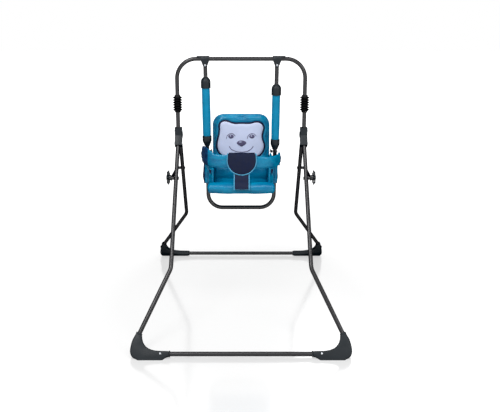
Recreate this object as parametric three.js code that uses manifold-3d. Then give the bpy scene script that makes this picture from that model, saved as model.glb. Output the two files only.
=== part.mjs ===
// A toddler swing on a folding tubular stand: an arch on two splayed leg frames,
// and a padded fabric seat that hangs from the arch's top bar on two tubes.
//
// Units are millimetres. +Z is up and the floor is Z = 0. X runs across the stand, the
// child faces -Y, and "left" is the -X side. The origin is on the floor, in the middle.

import * as THREE from "three";
import { mergeVertices } from "three/addons/utils/BufferGeometryUtils.js";
import Module from "manifold-3d";

const wasm = await Module();
wasm.setup();

// ---------------------------------------------------------------- driving dimensions

const CLEARANCE = 0.3; // between pieces that touch or slide in each other
const SEAM = 0.5; // between the seat's fabric pieces
const TUBE_OD = 19;
const TUBE_WALL = 1.2;
const SWAGE_DIAMETER = 15.2; // a tube end drawn down to plug into the next tube
const SWAGE_LENGTH = 30;
const PIN_DIAMETER = 8; // hinge pins, stay rivets and clamp studs
const SCREW_DIAMETER = 5; // bolts and screws
const BOLT_DIAMETER = 6; // bracket bolts and seat bolts

// The seat sets the width of all that is built round it.
const SEAT = { halfWidth: 138.5, front: -168, roll: -89, back: 30, rollOverhang: 17.5 };
const SEAT_HEIGHT = { boardTop: 594, padTop: 622, rollBottom: 597, rollTop: 644 };
const BACK = { bottom: 578, height: 350, thickness: 28, front: 32, recline: 4, corner: 52 };
const BOARD_THICKNESS = 9;
const SIDE_PANEL = { thickness: 8, channelWall: 4.5, top: 738, bottom: 578, channelBottom: 603 };
const BAND = { bottom: 709, top: 770, front: -131, thickness: 13, endWall: 11 };
const BIB = { halfWidth: 62, top: 784, bottom: 677, thickness: 6 };
const STRAP = { halfWidth: 37, thickness: 5, bottom: 620 };
const WING_NUT = { hub: 11, wing: 14 };

const SEAT_FRAME = { outsideSeat: 19, barHeight: 481, bend: 68, boltHeight: 760 };
const HANGER = { lean: 2.5, spread: 5, bottom: 745 }; // outwards from the seat frame, and over its length
const HANGER_BOTTOM_X = SEAT.halfWidth + SEAT_FRAME.outsideSeat + HANGER.lean;
const HANGER_TOP_X = HANGER_BOTTOM_X + HANGER.spread;
const SLEEVE = { diameter: 38.5, capDiameter: 45, topCap: 50, bottomCap: 48, bottomCapDiameter: 43 };
const SLEEVE_SPANS = { left: [836, 1061], right: [819, 1028] };
const BRACKET = { width: 38, waist: 20, wall: 3, boltBelowBar: 28, endBelowBar: 39, tail: 19 };

const BAR_HEIGHT = 1195; // centre of the top bar
const ARCH_BEND = 90; // bend radii are at the tube's centreline
const ARCH_HALF_WIDTH = HANGER_TOP_X + BRACKET.width / 2 + BRACKET.tail + 3 + ARCH_BEND;
const ARCH_SIDE = 210; // from the top bar down to the arch's ends, where the uprights plug in
const ARCH_END_HEIGHT = BAR_HEIGHT - ARCH_SIDE;
const HINGE_HEIGHT = 835; // where the legs meet the upright
const GAITER = { length: 80, belowJoint: 37, ribDiameter: 42, rootDiameter: 29, ribs: 6 };

const FOOT_DEPTH = 580; // foot bars from the middle, front and rear
const FOOT_BAR_HEIGHT = 15;
const FOOT_BAR_HALF_LENGTH = 430;
const REAR_PIVOT_BEHIND = 30; // rear hinge pin behind the upright
const REAR_FOLD_DEGREES = 67; // how far the rear frame folds forwards
const LEG_BEND = 80;
// Each leg's knee, and its end in the corner boot beyond the foot bar's end. `out` is from
// the upright, and the heights are along the leg frame from the foot bar.
const FRONT_LEG = { topOut: 0, kneeOut: 13.5, kneeUp: 368, endPastBar: 20, endUp: 50 };
const REAR_LEG = { topOut: -4, kneeOut: -1, kneeUp: 381, endPastBar: 28, endUp: 60 };
const FRONT_LEG_TOP_GAP = 14; // the front leg stops this far below the hinge point
const REAR_LEG_OVERRUN = 9; // the rear leg runs this far past its hinge pin
const BOOT = { length: 127, collarLength: 48, collarWall: 2.1, half: 13, barCover: 12, heel: 25, toe: 48 };
const BOOT_SCREW_INSET = 38; // from a boot's inner end

const HOUSING = { inwards: 17.5, outwards: 15.5, above: 40, half: 15, skirt: 52, lobe: 14 };
const STAY = { gap: 0.8, thickness: 3, width: 22, studHeight: 661, rivetHeight: 638 };
const KNOB = { radius: 37, lobes: 5, lobeDepth: 8, hubDiameter: 25, length: 20, lobeStart: 8 };

// ---------------------------------------------------------------- finishes

const finish = (color, roughness, metalness = 0) => ({ color, roughness, metalness });
const FINISHES = {
  paintedSteel: finish(0x2b2b30, 0.38, 0.3),
  blackPlastic: finish(0x17181a, 0.5),
  blackRubber: finish(0x151515, 0.75),
  zincSteel: finish(0xc4c6c8, 0.35, 1),
  blueFoam: finish(0x0f86b4, 0.6),
  blueVinyl: finish(0x0f8cc0, 0.35),
  navyFabric: finish(0x1f2a4a, 0.85),
  plywood: finish(0xc8a878, 0.7),
};

// ---------------------------------------------------------------- geometry helpers

const TUBE_SIDES = 12;
const BEND_STEP = Math.PI / 12; // a bend is drawn in steps of 15 degrees
const TUBE_RADIUS = TUBE_OD / 2;
const TUBE_BORE = TUBE_RADIUS - TUBE_WALL;

const vec = (x, y, z) => new THREE.Vector3(x, y, z);
const radians = THREE.MathUtils.degToRad;

// The radius of a many-sided hole whose flats clear a round of the given radius.
const clearing = (radius, sides = TUBE_SIDES) => (radius + CLEARANCE) / Math.cos(Math.PI / sides);

// A closed geometry as a solid that can be joined and cut.
function solid(geometry) {
  const bare = geometry.clone();
  for (const name of Object.keys(bare.attributes)) if (name !== "position") bare.deleteAttribute(name);
  const merged = mergeVertices(bare, 1e-4);
  return new wasm.Manifold(
    new wasm.Mesh({
      numProp: 3,
      vertProperties: merged.attributes.position.array,
      triVerts: new Uint32Array(merged.index.array),
    }),
  );
}

// The geometry of a joined or cut solid.
function geometryOf(body) {
  const { numProp, vertProperties, triVerts } = body.getMesh();
  const positions = new Float32Array(triVerts.length * 3);
  triVerts.forEach((vertex, i) => {
    positions.set(vertProperties.subarray(vertex * numProp, vertex * numProp + 3), i * 3);
  });
  const geometry = new THREE.BufferGeometry();
  geometry.setAttribute("position", new THREE.BufferAttribute(positions, 3));
  geometry.computeVertexNormals();
  return geometry;
}

const join = (...parts) => geometryOf(parts.map(solid).reduce((all, part) => all.add(part)));
const cut = (geometry, ...tools) =>
  geometryOf(tools.map(solid).reduce((rest, tool) => rest.subtract(tool), solid(geometry)));

// A round bar from one point to another, thinner at the far end if a second radius is given.
function rod(from, to, radius, sides = TUBE_SIDES, endRadius = radius) {
  const along = to.clone().sub(from);
  const geometry = new THREE.CylinderGeometry(endRadius, radius, along.length(), sides);
  geometry.applyQuaternion(new THREE.Quaternion().setFromUnitVectors(vec(0, 1, 0), along.normalize()));
  const middle = from.clone().add(to).multiplyScalar(0.5);
  return geometry.translate(middle.x, middle.y, middle.z);
}

// A ring of [radius, height] points turned round the Z axis.
function turned(profile, sides = 16) {
  const points = profile.map(([radius, height]) => new THREE.Vector2(radius, height));
  return new THREE.LatheGeometry([...points, points[0].clone()], sides).rotateX(Math.PI / 2);
}

function outline(points) {
  return new THREE.Shape(points.map(([x, y]) => new THREE.Vector2(x, y)));
}

// An outline thickened between two distances along the third axis of its plane.
function plate(shape, low, high, plane = new THREE.Matrix4()) {
  const options = { depth: high - low, bevelEnabled: false, curveSegments: 6 };
  return new THREE.ExtrudeGeometry(shape, options).translate(0, 0, low).applyMatrix4(plane);
}

const planeOf = (across, up, origin = vec(0, 0, 0)) =>
  new THREE.Matrix4().makeBasis(across, up, across.clone().cross(up)).setPosition(origin);
const SIDE_PLANE = planeOf(vec(0, 1, 0), vec(0, 0, 1)); // outlines in (Y, Z), thickened along X
const FRONT_PLANE = planeOf(vec(-1, 0, 0), vec(0, 0, 1)); // outlines in (-X, Z), thickened along Y

const box = (low, high) =>
  new THREE.BoxGeometry(high.x - low.x, high.y - low.y, high.z - low.z).translate(
    (low.x + high.x) / 2,
    (low.y + high.y) / 2,
    (low.z + high.z) / 2,
  );

// The centreline of a bent tube: straight runs joined by round bends, with stations only
// where it turns.
class TubeRoute extends THREE.Curve {
  constructor(corners, bendRadius) {
    super();
    const heading = (i) => corners[i + 1].clone().sub(corners[i]).normalize();
    this.stations = [{ point: corners[0], tangent: heading(0) }];
    for (let i = 1; i < corners.length - 1; i++) this.addBend(corners[i], heading(i - 1), heading(i), bendRadius);
    this.stations.push({ point: corners.at(-1), tangent: heading(corners.length - 2) });
    this.steps = this.stations.length - 1;
  }

  addBend(corner, before, after, radius) {
    const turn = before.angleTo(after);
    const inwards = after.clone().addScaledVector(before, -before.dot(after)).normalize();
    const start = corner.clone().addScaledVector(before, -radius * Math.tan(turn / 2));
    const steps = Math.max(2, Math.ceil(turn / BEND_STEP));
    for (let k = 0; k <= steps; k++) {
      const angle = (turn * k) / steps;
      const point = start
        .clone()
        .addScaledVector(before, radius * Math.sin(angle))
        .addScaledVector(inwards, radius * (1 - Math.cos(angle)));
      const tangent = before
        .clone()
        .multiplyScalar(Math.cos(angle))
        .addScaledVector(inwards, Math.sin(angle));
      this.stations.push({ point, tangent });
    }
  }

  getPointAt(u, target = vec(0, 0, 0)) {
    return target.copy(this.stations[Math.round(u * this.steps)].point);
  }

  getTangentAt(u, target = vec(0, 0, 0)) {
    return target.copy(this.stations[Math.round(u * this.steps)].tangent);
  }
}

function tubeAlong(route) {
  const ring = (radius) => {
    const points = [];
    for (let i = 0; i < TUBE_SIDES; i++) {
      const angle = (2 * Math.PI * i) / TUBE_SIDES;
      points.push(new THREE.Vector2(radius * Math.cos(angle), radius * Math.sin(angle)));
    }
    return points;
  };
  const section = new THREE.Shape(ring(TUBE_RADIUS));
  section.holes.push(new THREE.Path(ring(TUBE_BORE)));
  return new THREE.ExtrudeGeometry(section, { steps: route.steps, extrudePath: route, bevelEnabled: false });
}

const straightTube = (from, to) => tubeAlong(new TubeRoute([from, to], 0));

// A bolt or pin along `axis` through `middle`: a shank with a flat round head at each end.
function pin(middle, axis, shankRadius, lowEnd, highEnd, headRadius, headHeight) {
  const at = (distance) => middle.clone().addScaledVector(axis, distance);
  return join(
    rod(at(lowEnd - headHeight / 2), at(highEnd + headHeight / 2), shankRadius),
    rod(at(lowEnd - headHeight), at(lowEnd), headRadius),
    rod(at(highEnd), at(highEnd + headHeight), headRadius),
  );
}

const X_AXIS = vec(1, 0, 0);
const Y_AXIS = vec(0, 1, 0);

// ---------------------------------------------------------------- assembly

const swing = new THREE.Group();
const right = new THREE.Group();
const left = new THREE.Group();
left.scale.x = -1; // pieces are drawn for the right side and mirrored
swing.add(right, left);

function add(parent, name, geometry, look) {
  const mesh = new THREE.Mesh(geometry, new THREE.MeshStandardMaterial(look));
  mesh.name = name;
  parent.add(mesh);
  return mesh;
}

function addPair(name, geometry, look) {
  add(right, name + "_right", geometry, look);
  add(left, name + "_left", geometry, look);
}

// ---------------------------------------------------------------- leg frames

// A leg frame lies in a plane through the X direction. `up` runs from the foot bar's
// centre towards the hinge, and heights in the frame are measured along it.
function legFrame(side, hingeDepth) {
  const foot = vec(0, side * FOOT_DEPTH, FOOT_BAR_HEIGHT);
  const hinge = vec(0, hingeDepth, HINGE_HEIGHT);
  const up = hinge.clone().sub(foot);
  const length = up.length();
  up.normalize();
  const place = (x, distance) => foot.clone().addScaledVector(up, distance).setX(x);
  return { side, foot, up, length, place, plane: planeOf(X_AXIS, up, foot) };
}

const frontFrame = legFrame(-1, 0);
const rearFrame = legFrame(1, REAR_PIVOT_BEHIND);
const rearPivot = vec(ARCH_HALF_WIDTH + REAR_LEG.topOut, REAR_PIVOT_BEHIND, HINGE_HEIGHT);

function legCorners(frame, leg, topDistance) {
  return [
    frame.place(ARCH_HALF_WIDTH + leg.topOut, topDistance),
    frame.place(ARCH_HALF_WIDTH + leg.kneeOut, leg.kneeUp),
    frame.place(FOOT_BAR_HALF_LENGTH + leg.endPastBar, leg.endUp),
  ];
}

// The point on a leg's upper run at a height above the floor.
function onLeg(corners, height) {
  const [top, knee] = corners;
  return top.clone().lerp(knee, (top.z - height) / (top.z - knee.z));
}

const frontCorners = legCorners(frontFrame, FRONT_LEG, frontFrame.length - FRONT_LEG_TOP_GAP);
const rearCorners = legCorners(rearFrame, REAR_LEG, rearFrame.length + REAR_LEG_OVERRUN);
const clampPoint = onLeg(frontCorners, STAY.studHeight);
const rivetPoint = onLeg(rearCorners, STAY.rivetHeight);
const frontBoltPoint = onLeg(frontCorners, HINGE_HEIGHT - 31);
const uprightBoltPoint = vec(ARCH_HALF_WIDTH, 0, HINGE_HEIGHT + 24);

const throughX = (point, radius, reach = 60) =>
  rod(point.clone().setX(point.x - reach), point.clone().setX(point.x + reach), clearing(radius));

function bentLeg(corners, ...holes) {
  return cut(tubeAlong(new TubeRoute(corners, LEG_BEND)), ...holes);
}

// The moulded corner shoe that holds a leg's end and the foot bar's end. Its outline lies
// in the leg frame's plane and its sole is cut flat on the floor.
const BOOT_INNER_X = FOOT_BAR_HALF_LENGTH - BOOT.length;
const BOOT_HEEL_X = FOOT_BAR_HALF_LENGTH + BOOT.heel;
const BOOT_TOE_X = FOOT_BAR_HALF_LENGTH + BOOT.toe;
const COLLAR_HALF = TUBE_RADIUS + BOOT.collarWall;
const SCREW_X = BOOT_INNER_X + BOOT_SCREW_INSET;

const outwards = (frame) => vec(0, frame.side * frame.up.z, Math.abs(frame.up.y));
const screwTip = (frame, distance) =>
  frame.foot.clone().addScaledVector(outwards(frame), distance).setX(SCREW_X);

function cornerBoot(frame, corners) {
  const [, knee, end] = corners;
  const flare = end.clone().sub(knee).normalize();
  const mouth = end.clone().addScaledVector(flare, -BOOT.collarLength);
  const inPlane = (point) => [point.x, point.clone().sub(frame.foot).dot(frame.up)];
  const [mouthX, mouthUp] = inPlane(mouth);
  const [endX, endUp] = inPlane(end);
  const length = Math.hypot(endX - mouthX, endUp - mouthUp);
  const across = [-(endUp - mouthUp) / length, (endX - mouthX) / length]; // towards the outside
  const shape = new THREE.Shape();
  shape.moveTo(BOOT_INNER_X, -30);
  shape.lineTo(BOOT_HEEL_X, -30);
  shape.lineTo(BOOT_HEEL_X, -22);
  shape.quadraticCurveTo(BOOT_TOE_X, 15, BOOT_TOE_X - 15, 60);
  shape.lineTo(mouthX + across[0] * COLLAR_HALF, mouthUp + across[1] * COLLAR_HALF);
  shape.lineTo(mouthX - across[0] * COLLAR_HALF, mouthUp - across[1] * COLLAR_HALF);
  shape.quadraticCurveTo(mouthX - 12, BOOT.barCover + 2, BOOT_INNER_X + 42, BOOT.barCover);
  shape.lineTo(BOOT_INNER_X, BOOT.barCover - 1);
  const body = plate(shape, -BOOT.half, BOOT.half, frame.plane);
  const reach = frame.side * (FOOT_DEPTH + 100);
  const floor = box(vec(0, Math.min(0, reach), -100), vec(2 * BOOT_TOE_X, Math.max(0, reach), 0));
  const beyond = flare.clone().multiplyScalar(CLEARANCE);
  const legSocket = rod(mouth.clone().addScaledVector(flare, -30), end.clone().add(beyond), clearing(TUBE_RADIUS));
  const barEnd = frame.foot.clone().setX(FOOT_BAR_HALF_LENGTH + CLEARANCE);
  const barSocket = rod(frame.foot.clone().setX(BOOT_INNER_X - 100), barEnd, clearing(TUBE_RADIUS));
  const screwHole = rod(
    frame.foot.clone().setX(SCREW_X),
    screwTip(frame, BOOT.half + 5),
    clearing(SCREW_DIAMETER / 2, 8),
    8,
  );
  return cut(body, floor, legSocket, barSocket, screwHole);
}

function bootScrew(frame) {
  const seat = BOOT.half + CLEARANCE;
  return join(
    rod(screwTip(frame, 2), screwTip(frame, seat + 1), SCREW_DIAMETER / 2, 8),
    rod(screwTip(frame, seat), screwTip(frame, seat + 3), 5.5, 12, 4),
  );
}

function footBar(frame) {
  const tube = straightTube(
    frame.foot.clone().setX(-FOOT_BAR_HALF_LENGTH),
    frame.foot.clone().setX(FOOT_BAR_HALF_LENGTH),
  );
  const holes = [-1, 1].map((side) =>
    rod(
      frame.foot.clone().setX(side * SCREW_X),
      screwTip(frame, TUBE_OD).setX(side * SCREW_X),
      clearing(SCREW_DIAMETER / 2, 8),
      8,
    ),
  );
  return cut(tube, ...holes);
}

for (const [name, frame, corners, holes] of [
  ["front", frontFrame, frontCorners, [throughX(frontBoltPoint, SCREW_DIAMETER / 2), throughX(clampPoint, PIN_DIAMETER / 2)]],
  ["rear", rearFrame, rearCorners, [throughX(rearPivot, PIN_DIAMETER / 2), throughX(rivetPoint, PIN_DIAMETER / 2)]],
]) {
  addPair(name + "_leg", bentLeg(corners, ...holes), FINISHES.paintedSteel);
  add(swing, name + "_foot_bar", footBar(frame), FINISHES.paintedSteel);
  addPair(name + "_corner_boot", cornerBoot(frame, corners), FINISHES.blackPlastic);
  addPair(name + "_boot_screw", bootScrew(frame), FINISHES.zincSteel);
}

// ---------------------------------------------------------------- arch and uprights

function topArch() {
  return tubeAlong(
    new TubeRoute(
      [
        vec(-ARCH_HALF_WIDTH, 0, ARCH_END_HEIGHT),
        vec(-ARCH_HALF_WIDTH, 0, BAR_HEIGHT),
        vec(ARCH_HALF_WIDTH, 0, BAR_HEIGHT),
        vec(ARCH_HALF_WIDTH, 0, ARCH_END_HEIGHT),
      ],
      ARCH_BEND,
    ),
  );
}

const UPRIGHT_BOTTOM = HINGE_HEIGHT + 6;

// A short tube whose upper end is drawn down to plug into the arch.
function upright() {
  const shoulder = ARCH_END_HEIGHT - CLEARANCE;
  const swage = SWAGE_DIAMETER / 2;
  const tube = turned(
    [
      [TUBE_RADIUS, UPRIGHT_BOTTOM],
      [TUBE_RADIUS, shoulder],
      [swage, shoulder],
      [swage, shoulder + SWAGE_LENGTH],
      [swage - TUBE_WALL, shoulder + SWAGE_LENGTH],
      [swage - TUBE_WALL, shoulder - 5],
      [TUBE_BORE, shoulder - 5],
      [TUBE_BORE, UPRIGHT_BOTTOM],
    ],
    TUBE_SIDES,
  ).translate(ARCH_HALF_WIDTH, 0, 0);
  return cut(tube, throughX(uprightBoltPoint, SCREW_DIAMETER / 2));
}

// The ribbed rubber sleeve over the joint of the arch and the upright.
function gaiter() {
  const bore = clearing(TUBE_RADIUS, 16);
  const root = GAITER.rootDiameter / 2;
  const rib = GAITER.ribDiameter / 2;
  const bottom = ARCH_END_HEIGHT - GAITER.belowJoint;
  const pitch = GAITER.length / (GAITER.ribs + 0.5);
  const profile = [[bore, bottom]];
  for (let i = 0; i < GAITER.ribs; i++) {
    const height = bottom + pitch * i;
    profile.push([i ? root : bore + 3, height], [i ? rib : (root + rib) / 2, height + pitch * 0.6]);
  }
  const top = bottom + GAITER.length;
  profile.push([root, bottom + pitch * GAITER.ribs], [rib - 1, top - 2], [bore, top]);
  return turned(profile, 16).translate(ARCH_HALF_WIDTH, 0, 0);
}

add(swing, "top_arch", topArch(), FINISHES.paintedSteel);
addPair("upright", upright(), FINISHES.paintedSteel);
addPair("ribbed_gaiter", gaiter(), FINISHES.blackRubber);

// ---------------------------------------------------------------- hinge housings

const HOUSING_INNER = ARCH_HALF_WIDTH - HOUSING.inwards;
const HOUSING_OUTER = ARCH_HALF_WIDTH + HOUSING.outwards;

// The moulded housing that holds the upright and the front leg, with two cheeks at the
// back for the rear leg's hinge pin.
function hingeHousing() {
  const { half, skirt, lobe } = HOUSING;
  const top = HINGE_HEIGHT + HOUSING.above;
  const down = frontFrame.up.clone().negate();
  const back = vec(0, frontFrame.up.z, -frontFrame.up.y);
  const onSkirt = (distance, across) => {
    const y = down.y * distance + back.y * across;
    const z = HINGE_HEIGHT + down.z * distance + back.z * across;
    return new THREE.Vector2(y, z);
  };
  const shape = new THREE.Shape();
  shape.moveTo(-half, top);
  shape.lineTo(-half, HINGE_HEIGHT + 5);
  const frontToe = onSkirt(skirt, -half);
  const rearToe = onSkirt(skirt, half);
  shape.lineTo(frontToe.x, frontToe.y);
  shape.lineTo(rearToe.x, rearToe.y);
  shape.lineTo(rearPivot.y - lobe, HINGE_HEIGHT - lobe);
  shape.lineTo(rearPivot.y, HINGE_HEIGHT - lobe);
  shape.absarc(rearPivot.y, HINGE_HEIGHT, lobe, -Math.PI / 2, Math.PI / 4, false);
  shape.lineTo(half + 3, top - 12);
  shape.lineTo(half, top);
  const body = plate(shape, HOUSING_INNER, HOUSING_OUTER, SIDE_PLANE);

  const slotHalf = TUBE_RADIUS + CLEARANCE + 0.3;
  const slotFront = rearPivot.y - Math.hypot(REAR_LEG_OVERRUN, TUBE_RADIUS) - 0.8;
  const slot = box(
    vec(rearPivot.x - slotHalf, slotFront, HINGE_HEIGHT - 60),
    vec(rearPivot.x + slotHalf, rearPivot.y + 60, top - 13),
  );
  const foldedDown = rearFrame.up.clone().negate().applyAxisAngle(X_AXIS, -radians(REAR_FOLD_DEGREES));
  const foldedLeg = rod(
    rearPivot,
    rearPivot.clone().addScaledVector(foldedDown, 2 * skirt),
    clearing(TUBE_RADIUS) + CLEARANCE,
  );
  const uprightSocket = rod(
    vec(ARCH_HALF_WIDTH, 0, UPRIGHT_BOTTOM - CLEARANCE),
    vec(ARCH_HALF_WIDTH, 0, top + 20),
    clearing(TUBE_RADIUS),
  );
  const [legTop, knee] = frontCorners;
  const legDown = knee.clone().sub(legTop).normalize();
  const legSocket = rod(
    legTop.clone().addScaledVector(legDown, -CLEARANCE),
    legTop.clone().addScaledVector(legDown, 2 * skirt),
    clearing(TUBE_RADIUS),
  );
  return cut(
    body,
    slot,
    foldedLeg,
    uprightSocket,
    legSocket,
    throughX(rearPivot, PIN_DIAMETER / 2),
    throughX(uprightBoltPoint, SCREW_DIAMETER / 2),
    throughX(frontBoltPoint, SCREW_DIAMETER / 2),
  );
}

// A pin or bolt right through the housing, its heads just clear of the housing's faces.
function housingPin(point, radius, headRadius, headHeight) {
  const low = HOUSING_INNER - CLEARANCE - point.x;
  const high = HOUSING_OUTER + CLEARANCE - point.x;
  return pin(point, X_AXIS, radius, low, high, headRadius, headHeight);
}

addPair("hinge_housing", hingeHousing(), FINISHES.blackPlastic);
addPair("hinge_pin", housingPin(rearPivot, PIN_DIAMETER / 2, 7, 2.5), FINISHES.zincSteel);
addPair("upright_bolt", housingPin(uprightBoltPoint, SCREW_DIAMETER / 2, 5, 2.5), FINISHES.zincSteel);
addPair("front_leg_bolt", housingPin(frontBoltPoint, SCREW_DIAMETER / 2, 5, 2.5), FINISHES.zincSteel);

// ---------------------------------------------------------------- stays and clamp knobs

const STAY_INNER = frontCorners[1].x + TUBE_RADIUS + STAY.gap; // clears the front leg down to its knee
const STAY_OUTER = STAY_INNER + STAY.thickness;
const stayRest = clampPoint.clone().sub(rivetPoint).setX(0);
const stayFolded = rearFrame.up.clone().negate();
const STAY_TURN = stayRest.angleTo(stayFolded); // the stay swings down to lie on the rear leg
const STAY_RATIO = STAY_TURN / radians(REAR_FOLD_DEGREES);

// Where the fixed stud is, seen from the stay, after part of the fold.
function studSeenFromStay(fold) {
  const turnAbout = (point, centre, angle) =>
    point.clone().sub(centre).applyAxisAngle(X_AXIS, angle).add(centre);
  const seenFromRear = turnAbout(clampPoint, rearPivot, fold);
  return turnAbout(seenFromRear, rivetPoint, -STAY_RATIO * fold).setX(0);
}

// A flat steel stay that pivots on the rear leg. Its front end is a hook that the stud
// leaves upwards, so the mouth follows the stud's own path out of the stay.
function stay() {
  const half = STAY.width / 2;
  const flat = (point, radius) =>
    rod(point.clone().setX(STAY_INNER), point.clone().setX(STAY_OUTER), radius, 16);
  const along = stayRest.clone().normalize();
  const bar = planeOf(along, X_AXIS.clone().cross(along), rivetPoint.clone().setX(0));
  const length = stayRest.length();
  const strip = plate(
    outline([[0, -half], [length, -half], [length, half], [0, half]]),
    STAY_INNER,
    STAY_OUTER,
    bar,
  );
  const mouth = [];
  for (let degrees = 0; degrees <= 5; degrees += 0.5) {
    const stud = studSeenFromStay(radians(degrees));
    const radius = clearing(PIN_DIAMETER / 2) + 0.4;
    mouth.push(rod(stud.clone().setX(STAY_INNER - 5), stud.clone().setX(STAY_OUTER + 5), radius));
  }
  return cut(
    join(strip, flat(rivetPoint, half), flat(clampPoint, half + 1)),
    throughX(rivetPoint, PIN_DIAMETER / 2),
    ...mouth,
  );
}

// A shank through a leg with a head on its inner side, a spacer up to the stay and an
// outer end that stops at `endX`.
function stayShank(point, endX, headRadius) {
  const at = (x) => point.clone().setX(x);
  const inner = point.x - TUBE_RADIUS - CLEARANCE;
  const outer = point.x + TUBE_RADIUS + CLEARANCE;
  return join(
    rod(at(inner - 1), at(endX), PIN_DIAMETER / 2),
    rod(at(inner - 3), at(inner), headRadius),
    rod(at(outer), at(STAY_INNER - CLEARANCE), 7.5),
  );
}

function stayRivet() {
  const head = STAY_OUTER + CLEARANCE;
  const at = (x) => rivetPoint.clone().setX(x);
  return join(stayShank(rivetPoint, head + 1, 7), rod(at(head), at(head + 3), 8, 12, 6));
}

const KNOB_START = STAY_OUTER + CLEARANCE;

// A hand knob with rounded lobes, on the stud outside the stay.
function clampKnob() {
  const { radius, lobes, lobeDepth, hubDiameter, length, lobeStart } = KNOB;
  const steps = lobes * 8;
  const points = [];
  for (let i = 0; i < steps; i++) {
    const angle = (2 * Math.PI * i) / steps;
    const reach = radius - lobeDepth + lobeDepth * Math.cos(lobes * angle);
    points.push([
      clampPoint.y + reach * Math.sin(angle),
      clampPoint.z + reach * Math.cos(angle),
    ]);
  }
  const star = plate(outline(points.reverse()), KNOB_START + lobeStart, KNOB_START + length, SIDE_PLANE);
  const at = (x) => clampPoint.clone().setX(x);
  const hub = rod(at(KNOB_START), at(KNOB_START + length), hubDiameter / 2);
  return cut(join(star, hub), throughX(clampPoint, PIN_DIAMETER / 2));
}

addPair("stay", stay(), FINISHES.paintedSteel);
addPair("stay_rivet", stayRivet(), FINISHES.paintedSteel);
addPair("clamp_stud", stayShank(clampPoint, KNOB_START + KNOB.length - 3, 8), FINISHES.zincSteel);
addPair("clamp_knob", clampKnob(), FINISHES.blackPlastic);

// ---------------------------------------------------------------- hangers

const bracketBoltPoint = vec(HANGER_TOP_X, 0, BAR_HEIGHT - BRACKET.boltBelowBar);
const hangerTop = vec(HANGER_TOP_X, 0, BAR_HEIGHT - TUBE_RADIUS - 1);
const hangerBottom = vec(HANGER_BOTTOM_X, 0, HANGER.bottom);
const hangerDown = hangerBottom.clone().sub(hangerTop).normalize();
const onHanger = (height) =>
  hangerTop.clone().lerp(hangerBottom, (hangerTop.z - height) / (hangerTop.z - hangerBottom.z));
const seatBoltPoint = onHanger(SEAT_FRAME.boltHeight);

const throughY = (point, radius) =>
  rod(point.clone().setY(-60), point.clone().setY(60), clearing(radius));

// A strap bent over the top bar, tapering to the bolt that holds the hanger between its
// two sides, with a short tail along the bar.
function pivotBracket() {
  const { width, waist, wall, tail } = BRACKET;
  const bottom = BAR_HEIGHT - BRACKET.endBelowBar;
  const bore = clearing(TUBE_RADIUS, 16) + 0.3;
  const reach = bore + wall;
  const strap = new THREE.Shape();
  strap.moveTo(-reach, bottom);
  strap.lineTo(-reach, BAR_HEIGHT);
  strap.absarc(0, BAR_HEIGHT, reach, Math.PI, 0, true);
  strap.lineTo(reach, bottom);
  strap.lineTo(bore, bottom);
  strap.lineTo(bore, BAR_HEIGHT);
  strap.absarc(0, BAR_HEIGHT, bore, 0, Math.PI, false);
  strap.lineTo(-bore, bottom);
  const x = HANGER_TOP_X;
  const folded = plate(strap, x - width / 2, x + width / 2 + tail, SIDE_PLANE);
  const face = outline([
    [-(x + width / 2 + tail), BAR_HEIGHT + reach + 5],
    [-(x + width / 2 + tail), BAR_HEIGHT + reach - 6],
    [-(x + width / 2), BAR_HEIGHT + reach - 7],
    [-(x + width / 2), BAR_HEIGHT - 8],
    [-(x + waist / 2), bottom + 8],
    [-(x + waist / 4), bottom],
    [-(x - waist / 4), bottom],
    [-(x - waist / 2), bottom + 8],
    [-(x - width / 2), BAR_HEIGHT - 8],
    [-(x - width / 2), BAR_HEIGHT + reach + 5],
  ]);
  const window = plate(face, -50, 50, FRONT_PLANE);
  const shaped = geometryOf(solid(folded).intersect(solid(window)));
  return cut(shaped, throughY(bracketBoltPoint, BOLT_DIAMETER / 2));
}

function bracketBolt() {
  const reach = clearing(TUBE_RADIUS, 16) + 0.3 + BRACKET.wall + CLEARANCE;
  return pin(bracketBoltPoint, Y_AXIS, BOLT_DIAMETER / 2, -reach, reach, 5, 3);
}

function hangerTube() {
  return cut(
    straightTube(hangerTop, hangerBottom),
    throughY(bracketBoltPoint, BOLT_DIAMETER / 2),
    throughX(seatBoltPoint, BOLT_DIAMETER / 2),
  );
}

// A turned ring on the hanger: its profile is in [radius, height above `height`].
function onHangerRing(profile, height, sides = 16) {
  const tilt = Math.atan2(hangerDown.x, hangerDown.z) + Math.PI;
  const centre = onHanger(height);
  return turned(profile, sides).rotateY(tilt).translate(centre.x, centre.y, centre.z);
}

function sleevePieces(side, [bottom, top]) {
  const parent = side === "left" ? left : right;
  const bore = clearing(TUBE_RADIUS, 16);
  const capRadius = SLEEVE.capDiameter / 2;
  const lowRadius = SLEEVE.bottomCapDiameter / 2;
  const topCap = [
    [bore, 0],
    [capRadius, 0],
    [capRadius, SLEEVE.topCap - 18],
    [capRadius - 4, SLEEVE.topCap - 7],
    [bore + 3, SLEEVE.topCap],
    [bore, SLEEVE.topCap],
  ];
  const bottomCap = [
    [bore, -SLEEVE.bottomCap],
    [bore + 3, -SLEEVE.bottomCap],
    [lowRadius, -SLEEVE.bottomCap + 22],
    [lowRadius, -CLEARANCE],
    [bore, -CLEARANCE],
  ];
  const foam = [
    [bore, 0],
    [SLEEVE.diameter / 2, 0],
    [SLEEVE.diameter / 2, top - bottom - CLEARANCE],
    [bore, top - bottom - CLEARANCE],
  ];
  add(parent, "sleeve_top_cap_" + side, onHangerRing(topCap, top), FINISHES.blackPlastic);
  add(parent, "foam_sleeve_" + side, onHangerRing(foam, bottom), FINISHES.blueFoam);
  add(parent, "sleeve_bottom_cap_" + side, onHangerRing(bottomCap, bottom), FINISHES.blackPlastic);
}

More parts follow.
